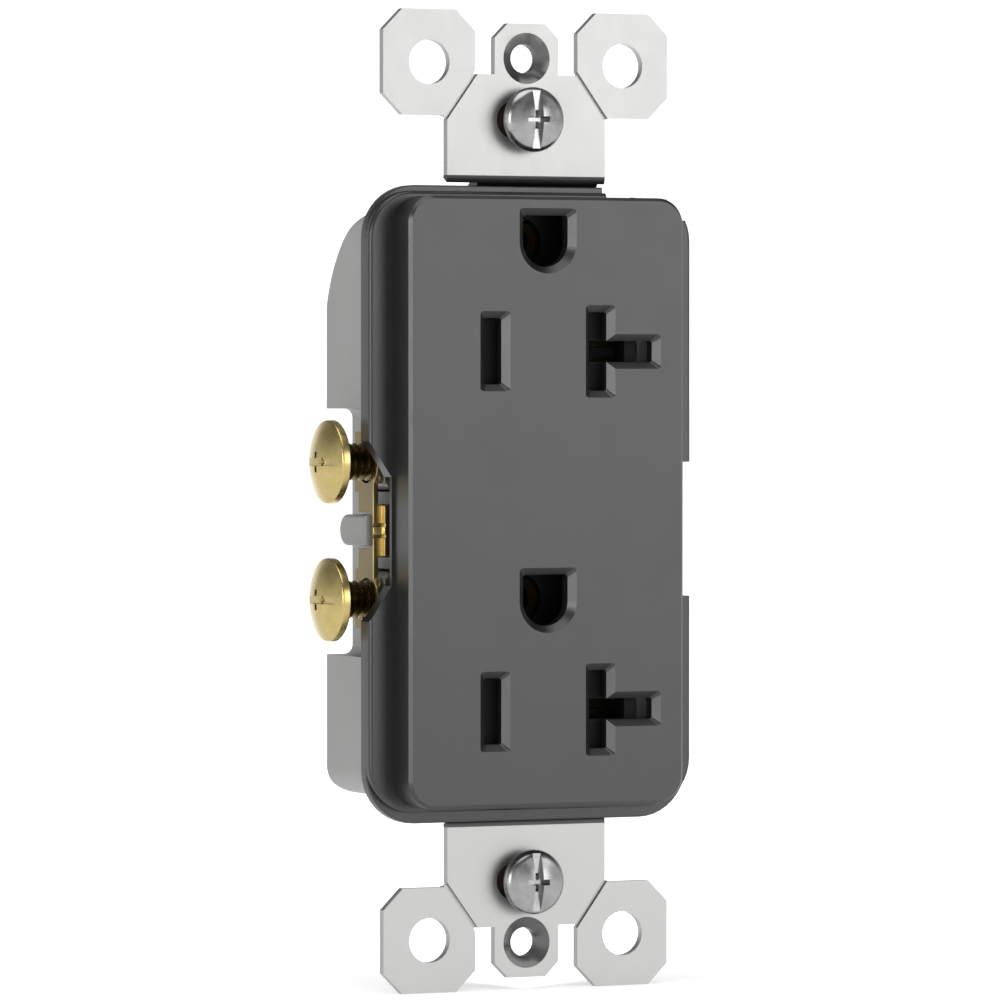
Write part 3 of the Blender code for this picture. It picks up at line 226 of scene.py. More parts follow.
def finish(name, recipe, **settings):
    """A material from a recipe, which takes the object's coordinates and gives the shader's inputs."""
    material = bpy.data.materials.new(name)
    material.use_nodes = True
    tree = material.node_tree
    shader = tree.nodes["Principled BSDF"]
    point = Signal(tree).node("TexCoord", {}, {}, "Object")
    for socket, value in recipe(point, **settings).items():
        if isinstance(value, Signal):
            tree.links.new(value.socket, shader.inputs[socket])
        else:
            shader.inputs[socket].default_value = value
    return material


# %% [markdown]
# Moulded plastic. The cover is spark-eroded graphite nylon, and the body a lighter grey. Both have a fine
# even grain from the mould, a faint cloudiness where the melt flowed, and a sheen that varies a little.


# %% Plastics
def moulded(point, dark, light, roughness, grain=0.18 * MM, gloss=0.5):
    """Moulded plastic with a spark-eroded grain."""
    cloud = noise(point, 9 * MM, 3, (1, 1, 2.5)) * 0.5 + 0.5
    fine = noise(point, grain, 3)
    wide = noise(point, 4 * MM, 2)
    return {
        "Base Color": mixed(cloud, dark, light),
        "Roughness": roughness + wide * 0.03 + fine * 0.05,
        "Normal": bumped(fine * 0.5 + 0.5, 0.004 * MM),
        "Specular IOR Level": gloss,
    }


graphite = finish("graphite_plastic", moulded, dark=(0.0085, 0.0085, 0.0088), light=(0.012, 0.012, 0.0124),
                  roughness=0.34, gloss=0.72)
body_grey = finish("grey_plastic", moulded, dark=(0.235, 0.235, 0.233), light=(0.27, 0.27, 0.265),
                   roughness=0.46, grain=0.25 * MM)
shutter_black = finish("shutter_nylon", moulded, dark=(0.003, 0.003, 0.003), light=(0.005, 0.005, 0.005),
                       roughness=0.7, gloss=0.2)
guide_white = finish("guide_nylon", moulded, dark=(0.5, 0.5, 0.47), light=(0.6, 0.6, 0.57), roughness=0.5)
print("plastics:", graphite.name, body_grey.name, shutter_black.name, guide_white.name)

# %% [markdown]
# Sheet metal. The strap is rolled steel with bright zinc on it, and the contacts are rolled brass. Rolling
# leaves long fine lines, and the plating is cloudy in patches a few millimetres wide. Painted shade darkens
# the strap in its bends and countersinks, and the plates behind their front edge.


# %% Sheet metals
BEND_Z = 35.55 * MM
PLATE_SCREW_Z, DIMPLE_RADIUS = 48.4 * MM, 2.8 * MM
PLATE_EDGE_Y = 2.45 * MM


def axes(point):
    """The three coordinates of a point."""
    return [point.node("SeparateXYZ", {}, {"Vector": point}, i) for i in range(3)]


def darker(colour, mask, tone):
    """A colour that falls to a share of itself where a mask is 1."""
    return mask.node("Mix", {"data_type": "RGBA", "blend_type": "MULTIPLY"},
                     {0: mask, 6: colour, 7: (tone, tone, tone, 1)}, 2)


def bend_and_dimple_shade(point):
    """Painted shade where the strap is bent between the mouldings, and in the countersinks for the plate
    screws.
    """
    x, _, z = axes(point)
    height = z.maths("ABSOLUTE", z)
    off = height - PLATE_SCREW_Z
    reach = (x * x + off * off) ** 0.5
    bend = height.maths("LESS_THAN", height, BEND_Z)
    return bend.maths("MAXIMUM", bend, reach.maths("LESS_THAN", reach, DIMPLE_RADIUS) * 0.8)


def shade_behind_front_edge(point):
    """Painted shade behind the freshly punched front edge of a terminal plate, down in the recess."""
    y = axes(point)[1]
    return y.maths("GREATER_THAN", y, PLATE_EDGE_Y)


def rolled(point, dark, light, roughness, dull, tone):
    """Rolled sheet with its lines upright, darker where the painted-shade mask says."""
    lines = noise(point, 0.09 * MM, 3, (1, 1, 30))
    cloud = noise(point, 3.5 * MM, 3)
    share = cloud * 0.35 + lines * 0.2 + 0.5
    return {
        "Base Color": darker(mixed(share, dark, light), dull(point), tone),
        "Metallic": 1.0,
        "Roughness": roughness + cloud * 0.05 + lines * 0.06,
        "Normal": bumped(lines * 0.5 + 0.5, 0.0025 * MM),
    }


# Painted shade: the strap is darker in its bends and in its countersinks.
zinc_sheet = finish("zinc_sheet", rolled, dark=(0.36, 0.36, 0.355), light=(0.44, 0.44, 0.435), roughness=0.42,
                    dull=bend_and_dimple_shade, tone=0.16)
# Painted shade: the brass, bronze and steel plates are darker behind their front edge, in the recess.
brass_sheet = finish("brass_sheet", rolled, dark=(0.62, 0.47, 0.20), light=(0.80, 0.66, 0.33), roughness=0.32,
                     dull=shade_behind_front_edge, tone=0.3)
# Painted shade: the ground contacts are bronze painted nearly black, for the shade deep in their holes.
shade_dark_bronze = finish("bronze_painted_dark_for_shade", rolled, dark=(0.035, 0.026, 0.016), light=(0.07, 0.052, 0.03),
                      roughness=0.55, dull=shade_behind_front_edge, tone=0.8)
steel_sheet = finish("clamp_steel", rolled, dark=(0.42, 0.41, 0.40), light=(0.55, 0.54, 0.53), roughness=0.4,
                     dull=shade_behind_front_edge, tone=0.9)
print("sheet metals:", zinc_sheet.name, brass_sheet.name, shade_dark_bronze.name, steel_sheet.name)

# %% [markdown]
# Screws. A head is formed in a die and then plated, so it has faint rings round its axis, brighter and darker
# streaks from its middle outwards, and small dull spots. The thread under a head is painted darker, as
# painted shade. Each screw has its own centre, so its finish is made for it.


# %% Turned and plated metal
THREAD_SHADE_TONE = 0.35
TERMINAL_HEAD = 2.3 * MM
BRASS = {"dark": (0.40, 0.31, 0.12), "light": (0.62, 0.50, 0.21), "roughness": 0.24}
NICKEL = {"dark": (0.52, 0.51, 0.48), "light": (0.68, 0.67, 0.64), "roughness": 0.22}
ZINC = {"dark": (0.22, 0.22, 0.22), "light": (0.45, 0.45, 0.445), "roughness": 0.22}
GREEN = {"dark": (0.015, 0.11, 0.06), "light": (0.04, 0.22, 0.12), "roughness": 0.3}
STEEL = {"dark": (0.38, 0.38, 0.38), "light": (0.52, 0.52, 0.51), "roughness": 0.34}


def turned(point, centre, axis, dark, light, roughness, seat=None, outward=1):
    """A plated head with rings round its axis; the thread past the seat is painted darker, as painted shade
    under the head.
    """
    radius, wave = rings(point, centre, axis, 0.16 * MM)
    patch = noise(point, 1.1 * MM, 3)
    spot = noise(point, 0.25 * MM, 2)
    share = patch * 0.4 + wave * 0.12 + spot * 0.15 + 0.5
    colour = mixed(share, dark, light)
    if seat is not None:
        along = point.node("SeparateXYZ", {}, {"Vector": point}, "XYZ".index(axis))
        height = (along - seat) * outward
        thread_in_head_shade = height.maths("LESS_THAN", height, 0.0)
        colour = thread_in_head_shade.node("Mix", {"data_type": "RGBA"},
                                {0: thread_in_head_shade, 6: colour, 7: (*(c * THREAD_SHADE_TONE for c in dark), 1)}, 2)
    return {
        "Base Color": colour,
        "Metallic": 1.0,
        "Roughness": roughness + patch * 0.06 + spot * 0.04 + radius * 8,
        "Normal": bumped(wave * 0.5 + patch * 0.5 + 0.5, 0.002 * MM),
    }


def screw_finish(node, axis, plating, head=0.0, outward=1):
    """The finish of one screw; with a head height, what lies past the seat of the head is darker, painted
    shade under the head.
    """
    low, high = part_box(node)
    index = "XYZ".index(axis)
    end = high[index] if outward > 0 else low[index]
    seat = end - outward * head if head else None
    return finish("plating_" + node, turned, centre=tuple((low + high) / 2), axis=axis, seat=seat,
                  outward=outward, **plating)


print("screw finishes are ready")

# %% [markdown]
# Vulcanised fibre. The square retainers behind the strap are punched from a red-brown board of pressed paper,
# so they have short fibres in every direction and no gloss.


# %% Fibre
def pressed_fibre(point):
    """Pressed paper board with its fibres in every direction."""
    fibres = noise(point, 0.12 * MM, 4, (6, 1, 1)) + noise(point, 0.12 * MM, 4, (1, 1, 6))
    return {
        "Base Color": mixed(fibres * 0.25 + 0.5, (0.035, 0.02, 0.014), (0.075, 0.04, 0.028)),
        "Roughness": 0.82 + fibres * 0.05,
        "Normal": bumped(fibres * 0.5 + 0.5, 0.01 * MM),
    }


fibre = finish("vulcanised_fibre", pressed_fibre)
print("fibre:", fibre.name)

# %% [markdown]
# Each piece gets its own finish. The outlet mixes moulded plastic, plated steel, brass and pressed fibre, and
# a screw needs its own centre for its rings, so a table says which finish goes on which piece. The ground
# contacts are bronze painted nearly black, as painted shade deep inside the holes.

# %% Give every CAD node its finish
SIDES = ("hot", "neutral")
ENDS = ("upper", "lower")
finishes = {"front_cover": graphite, "back_body": body_grey, "strap": zinc_sheet,
            "hot_strip": brass_sheet, "neutral_strip": brass_sheet,
            "ground_screw": screw_finish("ground_screw", "X", GREEN)}
for end in ENDS:
    finishes["ground_contact_" + end] = shade_dark_bronze
    finishes["ground_rivet_" + end] = screw_finish("ground_rivet_" + end, "Y", STEEL)
    finishes["shutter_" + end] = shutter_black
    finishes["shutter_guide_" + end] = guide_white
    finishes["shutter_spring_" + end] = screw_finish("shutter_spring_" + end, "X", STEEL)
    finishes["mounting_screw_" + end] = screw_finish("mounting_screw_" + end, "Y", ZINC)
    finishes["screw_retainer_" + end] = fibre
    for side in SIDES:
        finishes[f"clamp_{side}_{end}"] = steel_sheet
        name = f"terminal_screw_{side}_{end}"
        plating, outward = (BRASS, -1) if side == "hot" else (NICKEL, 1)
        finishes[name] = screw_finish(name, "X", plating, TERMINAL_HEAD, outward)
    for side in ("left", "right"):
        name = f"assembly_screw_{end}_{side}"
        finishes[name] = screw_finish(name, "Y", STEEL)
for name, material in finishes.items():
    nodes[name].material_slots[0].material = material
print("finished nodes:", len(finishes), "of", len(nodes))


# %% [markdown]
# The floor is pale and very dull. Where the camera looks past the outlet, the floor and the sky are both
# white, so no horizon shows. To the sides both are darker, and the sky is darker high up as well, because
# metal that mirrors only white looks like paper.


# %% Floor and sky finishes
SIDE_GREY = 0.6


def backdrop(towards):
    """White over the quarter that lies behind the outlet, fading to a darker grey at its sides."""
    behind = towards.node("VectorMath", {"operation": "DOT_PRODUCT"},
                          {0: towards, 1: (math.sin(AZIMUTH), math.cos(AZIMUTH), 0)}, "Value")
    return behind.node("ValToRGB", {"stops": [(0.72, SIDE_GREY), (0.9, 1.0)]}, {"Fac": behind})


def pale_floor(point):
    """A dull floor that glows white behind the outlet."""
    outwards = point.node("VectorMath", {"operation": "NORMALIZE"}, {0: point})
    return {"Base Color": mixed(noise(point, 0.3, 2) * 0.5 + 0.5, (0.88, 0.88, 0.88), (0.9, 0.9, 0.9)),
            "Roughness": 0.9, "Emission Color": backdrop(outwards), "Emission Strength": 0.85}


floor.data.materials.append(finish("pale_floor", pale_floor))
world = bpy.data.worlds.new("studio")
bpy.context.scene.world = world
world.use_nodes = True
sky = Signal(world.node_tree)
direction = sky.node("TexCoord", {}, {}, "Generated")
height = sky.node("SeparateXYZ", {}, {"Vector": direction}, 2)
band = sky.node("ValToRGB", {"stops": [(0.0, 1.0), (0.16, 1.0), (0.42, 0.22), (1.0, 0.3)]},
                {"Fac": height.maths("ABSOLUTE", height)})
background = world.node_tree.nodes["Background"]
world.node_tree.links.new((band * backdrop(direction)).socket, background.inputs["Color"])
background.inputs["Strength"].default_value = 1.25
print("sky and floor are set")

# %% [markdown]
# Modelling helpers. Each piece starts as a primitive and is shaped in edit mode. An operator acts on all
# that is selected, so these helpers deselect first, and pick edges or faces by where they are.


# %% Select, shape and join
SHARP_ANGLE = 32


def start_clean():
    """Leaves edit mode and deselects every object."""
    if bpy.context.object and bpy.context.object.mode != "OBJECT":
        bpy.ops.object.mode_set(mode="OBJECT")
    bpy.ops.object.select_all(action="DESELECT")


def pick(domain, test):
    """In edit mode, selects the vertices, edges or faces of the active mesh whose corners pass a test."""
    mesh = bpy.context.object.data
    bpy.ops.mesh.select_mode(type=domain)
    bpy.ops.mesh.select_all(action="DESELECT")
    bpy.ops.object.mode_set(mode="OBJECT")
    if domain == "VERT":
        for vertex in mesh.vertices:
            vertex.select = test([vertex.co])
    for part in mesh.edges if domain == "EDGE" else mesh.polygons if domain == "FACE" else ():
        part.select = test([mesh.vertices[i].co for i in part.vertices])
    bpy.ops.object.mode_set(mode="EDIT")


def at(value, wanted):
    """Whether a coordinate is where it is wanted, give or take 0.002 mm."""
    return abs(value - wanted) < 0.002 * MM


def block(name, x, y, z):
    """A cube at its size and place, in edit mode, with its origin at the world's."""
    start_clean()
    spans = [sorted(span) for span in (x, y, z)]
    bpy.ops.mesh.primitive_cube_add(size=1, location=[(a + b) / 2 for a, b in spans],
                                    scale=[b - a for a, b in spans])
    bpy.context.object.name = name
    bpy.ops.object.transform_apply(location=True, rotation=True, scale=True)
    bpy.ops.object.mode_set(mode="EDIT")
    return bpy.context.object


def edit(piece):
    """Selects one piece alone and enters edit mode on it."""
    start_clean()
    bpy.context.view_layer.objects.active = piece
    piece.select_set(True)
    bpy.ops.object.mode_set(mode="EDIT")


def front_to_back(ends):
    """Whether an edge runs along Y."""
    return abs(ends[0].y - ends[1].y) > 0.001 * MM


def round_picked(radius, steps):
    """In edit mode, rounds the selected edges."""
    bpy.ops.mesh.bevel(offset=radius, offset_type="OFFSET", segments=steps, affect="EDGES")


def pick_end(axis, level):
    """In edit mode, selects the faces that lie at one level along an axis."""
    pick("FACE", lambda corners: all(at(corner[axis], level) for corner in corners))


def round_rim(axis, level, radius, steps):
    """In edit mode, rounds the rim of the faces that lie at one level along an axis."""
    pick_end(axis, level)
    bpy.ops.mesh.region_to_loop()
    round_picked(radius, steps)


def scale_end(axis, level, factors, centre):
    """In edit mode, scales the faces that lie at one level along an axis."""
    pick_end(axis, level)
    bpy.ops.transform.resize(value=factors, center_override=centre)


def slab(name, x, y, z, corner, edge=0.0, edge_steps=1, steps=10):
    """A block with its four corners along Y rounded, and the rim of its front bevelled."""
    made = block(name, x, y, z)
    if corner:
        pick("EDGE", front_to_back)
        round_picked(corner, steps)
    if edge:
        round_rim(1, min(y), edge, edge_steps)
    bpy.ops.object.mode_set(mode="OBJECT")
    return made


def combine(target, operation, tools):
    """Joins tools to a piece or cuts them from it, and removes them."""
    for tool in tools:
        start_clean()
        bpy.context.view_layer.objects.active = target
        modifier = target.modifiers.new("combine", "BOOLEAN")
        modifier.operation = operation
        modifier.solver = "EXACT"
        modifier.object = tool
        bpy.ops.object.modifier_apply(modifier=modifier.name)
        bpy.data.objects.remove(tool)
    return target


def smooth(piece):
    """Clean normals, and smooth shading with sharp edges past an angle."""
    edit(piece)
    bpy.ops.mesh.select_all(action="SELECT")
    bpy.ops.mesh.remove_doubles(threshold=0.0005 * MM)
    bpy.ops.mesh.normals_make_consistent(inside=False)
    bpy.ops.object.mode_set(mode="OBJECT")
    bpy.ops.object.shade_smooth_by_angle(angle=math.radians(SHARP_ANGLE))
    modifier = piece.modifiers.new("flat faces stay flat", "WEIGHTED_NORMAL")
    modifier.keep_sharp = True
    bpy.ops.object.modifier_apply(modifier=modifier.name)


def stand_in(piece, node):
    """Finishes a piece that stands for a CAD node: its finish, its body and what it hides."""
    smooth(piece)
    piece.data.materials.clear()
    piece.data.materials.append(finishes[node])
    body = next(name for name, members in frame["record"]["behaviour"]["bodies"].items() if node in members)
    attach(piece, body)
    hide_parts(node)
    print(f"{piece.name}: {len(piece.data.polygons)} faces, stands for {node} on {body}")


print("modelling helpers are ready")

# %% [markdown]
# Lathe work. A screw is a turned shape: half of its outline is drawn by pulling one vertex from point to
# point, and the outline is spun round the axis. The thread is drawn as a row of ridges one pitch apart.


# %% Outline and spin
SPIN_STEPS = 56
SHOULDER_STEPS = 6
UNDER_EDGE = 0.12 * MM


def on_axis(axis, centre, along, radius):
    """A point of an outline: so far along an axis through a centre, and so far from it."""
    if axis == "X":
        return Vector((along, centre[1] + radius, centre[2]))
    return Vector((centre[0] + radius, along, centre[2]))


def lathe(name, axis, centre, outline):
    """Pulls a vertex along an outline of (along, radius) pairs and spins it round the axis."""
    start_clean()
    bpy.ops.mesh.primitive_plane_add(size=1 * MM)
    made = bpy.context.object
    made.name = name
    bpy.ops.object.mode_set(mode="EDIT")
    bpy.ops.mesh.select_mode(type="VERT")
    bpy.ops.mesh.select_all(action="SELECT")
    bpy.ops.mesh.merge(type="CENTER")
    places = [on_axis(axis, centre, along, radius) for along, radius in outline]
    bpy.ops.transform.translate(value=places[0])
    for here, there in zip(places, places[1:]):
        bpy.ops.mesh.extrude_region_move(TRANSFORM_OT_translate={"value": there - here})
    bpy.ops.mesh.select_all(action="SELECT")
    bpy.ops.mesh.spin(steps=SPIN_STEPS, angle=2 * math.pi, center=centre,
                      axis=(1, 0, 0) if axis == "X" else (0, 1, 0))
    bpy.ops.mesh.select_all(action="SELECT")
    bpy.ops.mesh.remove_doubles(threshold=0.001 * MM)
    bpy.ops.mesh.normals_make_consistent(inside=False)
    bpy.ops.object.mode_set(mode="OBJECT")
    return made


def thread(start, end, major, minor, pitch):
    """Ridges one pitch apart from start towards end, as outline points."""
    outward = 1 if end > start else -1
    turns = int(abs(end - start) / pitch)
    points = []
    for turn in range(turns):
        foot = start + outward * turn * pitch
        points += [(foot + outward * share * pitch, radius)
                   for share, radius in ((0.08, minor), (0.45, major), (0.6, major), (0.97, minor))]
    return points


def head_outline(seat, outward, radius, height, edge, crown):
    """A head from its seat outwards: a small under-edge, a straight rim, a round shoulder and a low crown."""
    points = [(seat, radius - UNDER_EDGE), (seat + outward * UNDER_EDGE, radius)]
    shoulder = height - crown - edge
    for i in range(SHOULDER_STEPS + 1):
        turn = math.pi / 2 * i / SHOULDER_STEPS * 0.9
        points.append((seat + outward * (shoulder + edge * math.sin(turn)),
                       radius - edge * (1 - math.cos(turn))))
    for share in (0.75, 0.5, 0.25, 0.0):
        points.append((seat + outward * (height - crown * share * share), (radius - edge) * share))
    return points


print("lathe is ready")

# %% [markdown]
# Terminal screws. Each has a large low head, a slot right across it and a small cross in the middle for a
# cross-point driver. They stand backed out of the terminal plate, as they are sold, so some thread shows.


# %% Screws with a slot and a cross
PITCH = 0.75 * MM
THREAD_ROOT, TIP_ROOT = 0.8, 0.62
CROSS_WIDTH, CROSS_DEPTH, CROSS_FOOT = 0.42, 1.7, 0.45


def driver_recess(axis, centre, top, outward, slot_reach, slot_width, slot_on, cross, depth):
    """Cutters for one slot and a tapered cross at the outer end of a head."""
    along = "XYZ".index(axis)
    across = 1 - along
    slot = ((slot_reach, slot_width / 2), (slot_width / 2, slot_reach))[slot_on]
    arms = [(cross, slot_width * CROSS_WIDTH), (slot_width * CROSS_WIDTH, cross)]
    tools = []
    for index, (first, second) in enumerate([slot, *arms]):
        sunk = top - outward * depth * (CROSS_DEPTH if index else 1)
        spans = [(sunk, top + outward * 1 * MM)] * 3
        spans[across] = (centre[across] - first, centre[across] + first)
        spans[2] = (centre[2] - second, centre[2] + second)
        tool = block("recess", *spans)
        if index:
            foot = list(centre)
            foot[along] = sunk
            scale_end(along, sunk, [CROSS_FOOT] * 3, foot)
        bpy.ops.object.mode_set(mode="OBJECT")
        tools.append(tool)
    return tools


def driven_screw(node, axis, outward, head, crown, shank, recess):
    """A turned screw with a slotted and crossed head, in the place of a CAD screw."""
    low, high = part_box(node)
    centre = (low + high) / 2
    along = "XYZ".index(axis)
    outer, tip = (low[along], high[along]) if outward < 0 else (high[along], low[along])
    radius, height, edge = head
    seat = outer - outward * height
    start = tip + outward * 0.6 * MM
    outline = [(tip, 0), (tip, shank * TIP_ROOT), (start, shank * THREAD_ROOT)]
    outline += thread(start, seat - outward * 0.25 * MM, shank, shank * THREAD_ROOT, PITCH)
    outline += [(seat, shank * THREAD_ROOT)] + head_outline(seat, outward, radius, height, edge, crown)
    made = lathe(node + "_turned", axis, centre, outline)
    combine(made, "DIFFERENCE", driver_recess(axis, centre, seat + outward * height, outward, radius * 1.2,
                                              **recess))
    stand_in(made, node)


for side, outward, slot in (("hot", -1, "brass_screw"), ("neutral", 1, "nickel_screw")):
    for end in ENDS:
        driven_screw(f"terminal_screw_{side}_{end}", "X", outward,
                     head=(4.55 * MM, TERMINAL_HEAD, 0.28 * MM), crown=1.25 * MM, shank=2.05 * MM,
                     recess={"slot_width": 0.85 * MM, "slot_on": 0, "cross": 1.5 * MM, "depth": 0.85 * MM})
driven_screw("ground_screw", "X", 1,
             head=(3.3 * MM, 1.5 * MM, 0.4 * MM), crown=0.6 * MM, shank=1.95 * MM,
             recess={"slot_width": 0.85 * MM, "slot_on": 0, "cross": 1.6 * MM, "depth": 0.75 * MM})

# %% [markdown]
# Box screws. These hold the receptacle to its box. Their heads are rounder and their slots wider, and the
# cross in the middle is larger than on the terminal screws.

# %% Box screws
for end in ENDS:
    driven_screw("mounting_screw_" + end, "Y", -1,
                 head=(3.55 * MM, 1.9 * MM, 1.0 * MM), crown=0.62 * MM, shank=1.7 * MM,
                 recess={"slot_width": 1.0 * MM, "slot_on": 1, "cross": 1.75 * MM, "depth": 0.85 * MM})

# %% [markdown]
# Assembly screws. Four small thread-forming screws go in from the back. Only their heads show, sunk in round
# holes, with a cross recess over a narrow slot.

# %% Assembly screws
for end in ENDS:
    for side in ("left", "right"):
        driven_screw(f"assembly_screw_{end}_{side}", "Y", 1,
                     head=(2.2 * MM, 1.3 * MM, 0.5 * MM), crown=0.15 * MM, shank=1.2 * MM,
                     recess={"slot_width": 0.6 * MM, "slot_on": 0, "cross": 1.3 * MM, "depth": 0.6 * MM})

# %% [markdown]
# Front cover. The real one is a single moulding: a flat face with a fine round edge, and a skirt behind it
# that the wall plate covers. It is built the same way, as slabs joined together, then hollowed from the back.
# The slabs run into each other so that they join as one solid.

# %% Cover slabs
FACE = -6.5 * MM
FACE_X, FACE_Z = 16.55 * MM, 33.15 * MM
SKIRT_X, SKIRT_Z, SKIRT_FRONT = 19.45 * MM, 33.75 * MM, -2.4 * MM
RIM_FRONT, RIM_BACK = -1.1 * MM, -0.1 * MM
BODY_X, BODY_Z = 17.75 * MM, 32.25 * MM
CAVITY_X, CAVITY_Z = 14.95 * MM, 31.55 * MM
SPIGOT_BACK = 0.9 * MM
SHARED = 0.25 * MM
FAR = 30 * MM


def rod(name, axis, centre, diameter, low, high, sides=48):
    """A cylinder along X or Y between two levels; the centre gives the two other coordinates."""
    start_clean()
    middle = (low + high) / 2
    place = (middle, *centre) if axis == "X" else (centre[0], middle, centre[1])
    turn = (0, math.pi / 2, 0) if axis == "X" else (math.pi / 2, 0, 0)
    bpy.ops.mesh.primitive_cylinder_add(vertices=sides, radius=diameter / 2, depth=abs(high - low),
                                        location=place, rotation=turn)
    bpy.context.object.name = name
    bpy.ops.object.transform_apply(location=True, rotation=True, scale=True)
    return bpy.context.object


def cut_block(x, y, z, corner=0.0):
    """A slab to cut with, or to join where a plain block is enough."""
    return slab("cut", x, y, z, corner, steps=5)


cover = slab("cover_moulding", (-FACE_X, FACE_X), (FACE, SKIRT_FRONT + 0.5 * MM), (-FACE_Z, FACE_Z),
             corner=3.0 * MM, edge=0.35 * MM)
skirt = slab("skirt", (-SKIRT_X, SKIRT_X), (SKIRT_FRONT, RIM_FRONT), (-SKIRT_Z, SKIRT_Z),
             corner=5.2 * MM, edge=0.45 * MM, edge_steps=4)
rim = slab("rim", (-SKIRT_X, SKIRT_X), (RIM_FRONT - SHARED, RIM_BACK), (-35.0 * MM, 34.4 * MM),
           corner=5.8 * MM, edge=0.2 * MM, edge_steps=2)
spigot = slab("spigot", (-BODY_X + 0.3 * MM, BODY_X - 0.3 * MM), (RIM_BACK - SHARED, SPIGOT_BACK),
              (-BODY_Z, BODY_Z), corner=3.0 * MM)
combine(cover, "UNION", [skirt, rim, spigot])
combine(cover, "DIFFERENCE", [cut_block((-CAVITY_X, CAVITY_X), (-4.5 * MM, FAR), (-CAVITY_Z, CAVITY_Z),
                                        2.0 * MM)])
print("cover slabs:", len(cover.data.polygons), "faces")

# %% [markdown]
# Openings. Each one starts in a sloping mouth that guides the blade, and the steel of the mould leaves its
# corners a little round. The cutter is a rounded slab whose front end is scaled up into the mouth.

# %% Openings
MOUTH, OVER, OPENING_BACK = 0.75 * MM, 0.6 * MM, -4.0 * MM
BLADES_Z = (16.35 * MM, -22.75 * MM)
BLADE_X, BLADE_HALF = 6.35 * MM, 1.05 * MM
HOT_HALF, NEUTRAL_HALF = 3.6 * MM, 4.3 * MM
TEE_REACH, TEE_HALF = 6.6 * MM, 1.15 * MM
GROUND_ABOVE, GROUND_X, GROUND_HALF = 12.0 * MM, 2.7 * MM, 2.8 * MM


def opening(x, z, corner=0.28 * MM, round_foot=0.0):
    """Cutters for one opening: the straight part, and the mouth that widens towards the face."""
    straight = (FACE + MOUTH - 0.01 * MM, OPENING_BACK, 0.0)
    mouth = (FACE - OVER, FACE + MOUTH, MOUTH + OVER)
    tools = []
    for low, high, spread in (straight, mouth):
        tool = block("opening", x, (low, high), z)
        if round_foot:
            pick("EDGE", lambda ends: front_to_back(ends) and at(ends[0].z, min(z)))
            round_picked(round_foot, 14)
            pick("EDGE", lambda ends: front_to_back(ends) and at(ends[0].z, max(z)))
        else:
            pick("EDGE", front_to_back)
        round_picked(corner, 4)
        if spread:
            width, height = x[1] - x[0], z[1] - z[0]
            scale_end(1, low, (1 + 2 * spread / width, 1, 1 + 2 * spread / height),
                      ((x[0] + x[1]) / 2, low, (z[0] + z[1]) / 2))
        bpy.ops.object.mode_set(mode="OBJECT")
        tools.append(tool)
    return tools


def about(middle, half):
    """From half a width before the middle to half a width past it."""
    return middle - half, middle + half


for blade in BLADES_Z:
    tools = opening(about(-BLADE_X, BLADE_HALF), about(blade, HOT_HALF))
    tools += opening(about(BLADE_X, BLADE_HALF), about(blade, NEUTRAL_HALF))
    tools += opening((BLADE_X - 0.3 * MM, BLADE_X + TEE_REACH), about(blade, TEE_HALF))
    tools += opening(about(0, GROUND_X), about(blade + GROUND_ABOVE, GROUND_HALF), 0.35 * MM, 2.68 * MM)
    combine(cover, "DIFFERENCE", tools)
print("cover with openings:", len(cover.data.polygons), "faces")

# %% [markdown]
# Skirt. It opens at the terminals so that the screws can be reached: a notch with sloping ends on the hot
# side and a square one on the neutral side. A corner is missing for the ground screw, and the rim behind it
# leaves room for the neck of the strap.

# %% Notches, room for the strap, and posts
NOTCH_X, NOTCH_Z = 16.85 * MM, -3.2 * MM
NOTCH_BACK = -5 * MM
FLARE_HALF, FLARE_WIDE, FLARE_PAST, SQUARE_HALF = 5.9 * MM, 9.75 * MM, 1.48 * MM, 7.4 * MM
TERMINAL_Y = 4.2 * MM
TERMINAL_Z = (NOTCH_Z + 7.5 * MM, NOTCH_Z - 7.5 * MM)
POSTS = [(side * 13.15 * MM, z) for side in (-1, 1) for z in (23.25 * MM, -28.65 * MM)]
POST_FRONT = -5.5 * MM
NECK_X, CORNER_X, CORNER_Z = 6.1 * MM, 9.05 * MM, 30.85 * MM

outside = -SKIRT_X - 1 * MM
flare = block("flare", (outside, -NOTCH_X), (NOTCH_BACK, FAR), about(NOTCH_Z, FLARE_HALF))
scale_end(0, outside, (1, 1, (FLARE_WIDE + FLARE_PAST) / FLARE_HALF), (0, 0, NOTCH_Z))
bpy.ops.object.mode_set(mode="OBJECT")
cuts = [flare, cut_block((NOTCH_X, FAR), (NOTCH_BACK, FAR), about(NOTCH_Z, SQUARE_HALF), 0.8 * MM)]
for side in (-1, 1):
    cuts.append(cut_block((side * CAVITY_X, side * 17.85 * MM), (SKIRT_FRONT + 0.5 * MM, FAR),
                          about(NOTCH_Z, FLARE_HALF)))
    for z in TERMINAL_Z:
        cuts.append(rod("cut", "X", (TERMINAL_Y, z), 9.7 * MM, side * NOTCH_X, side * FAR))
strap_room = (RIM_FRONT, RIM_BACK + 0.3 * MM)
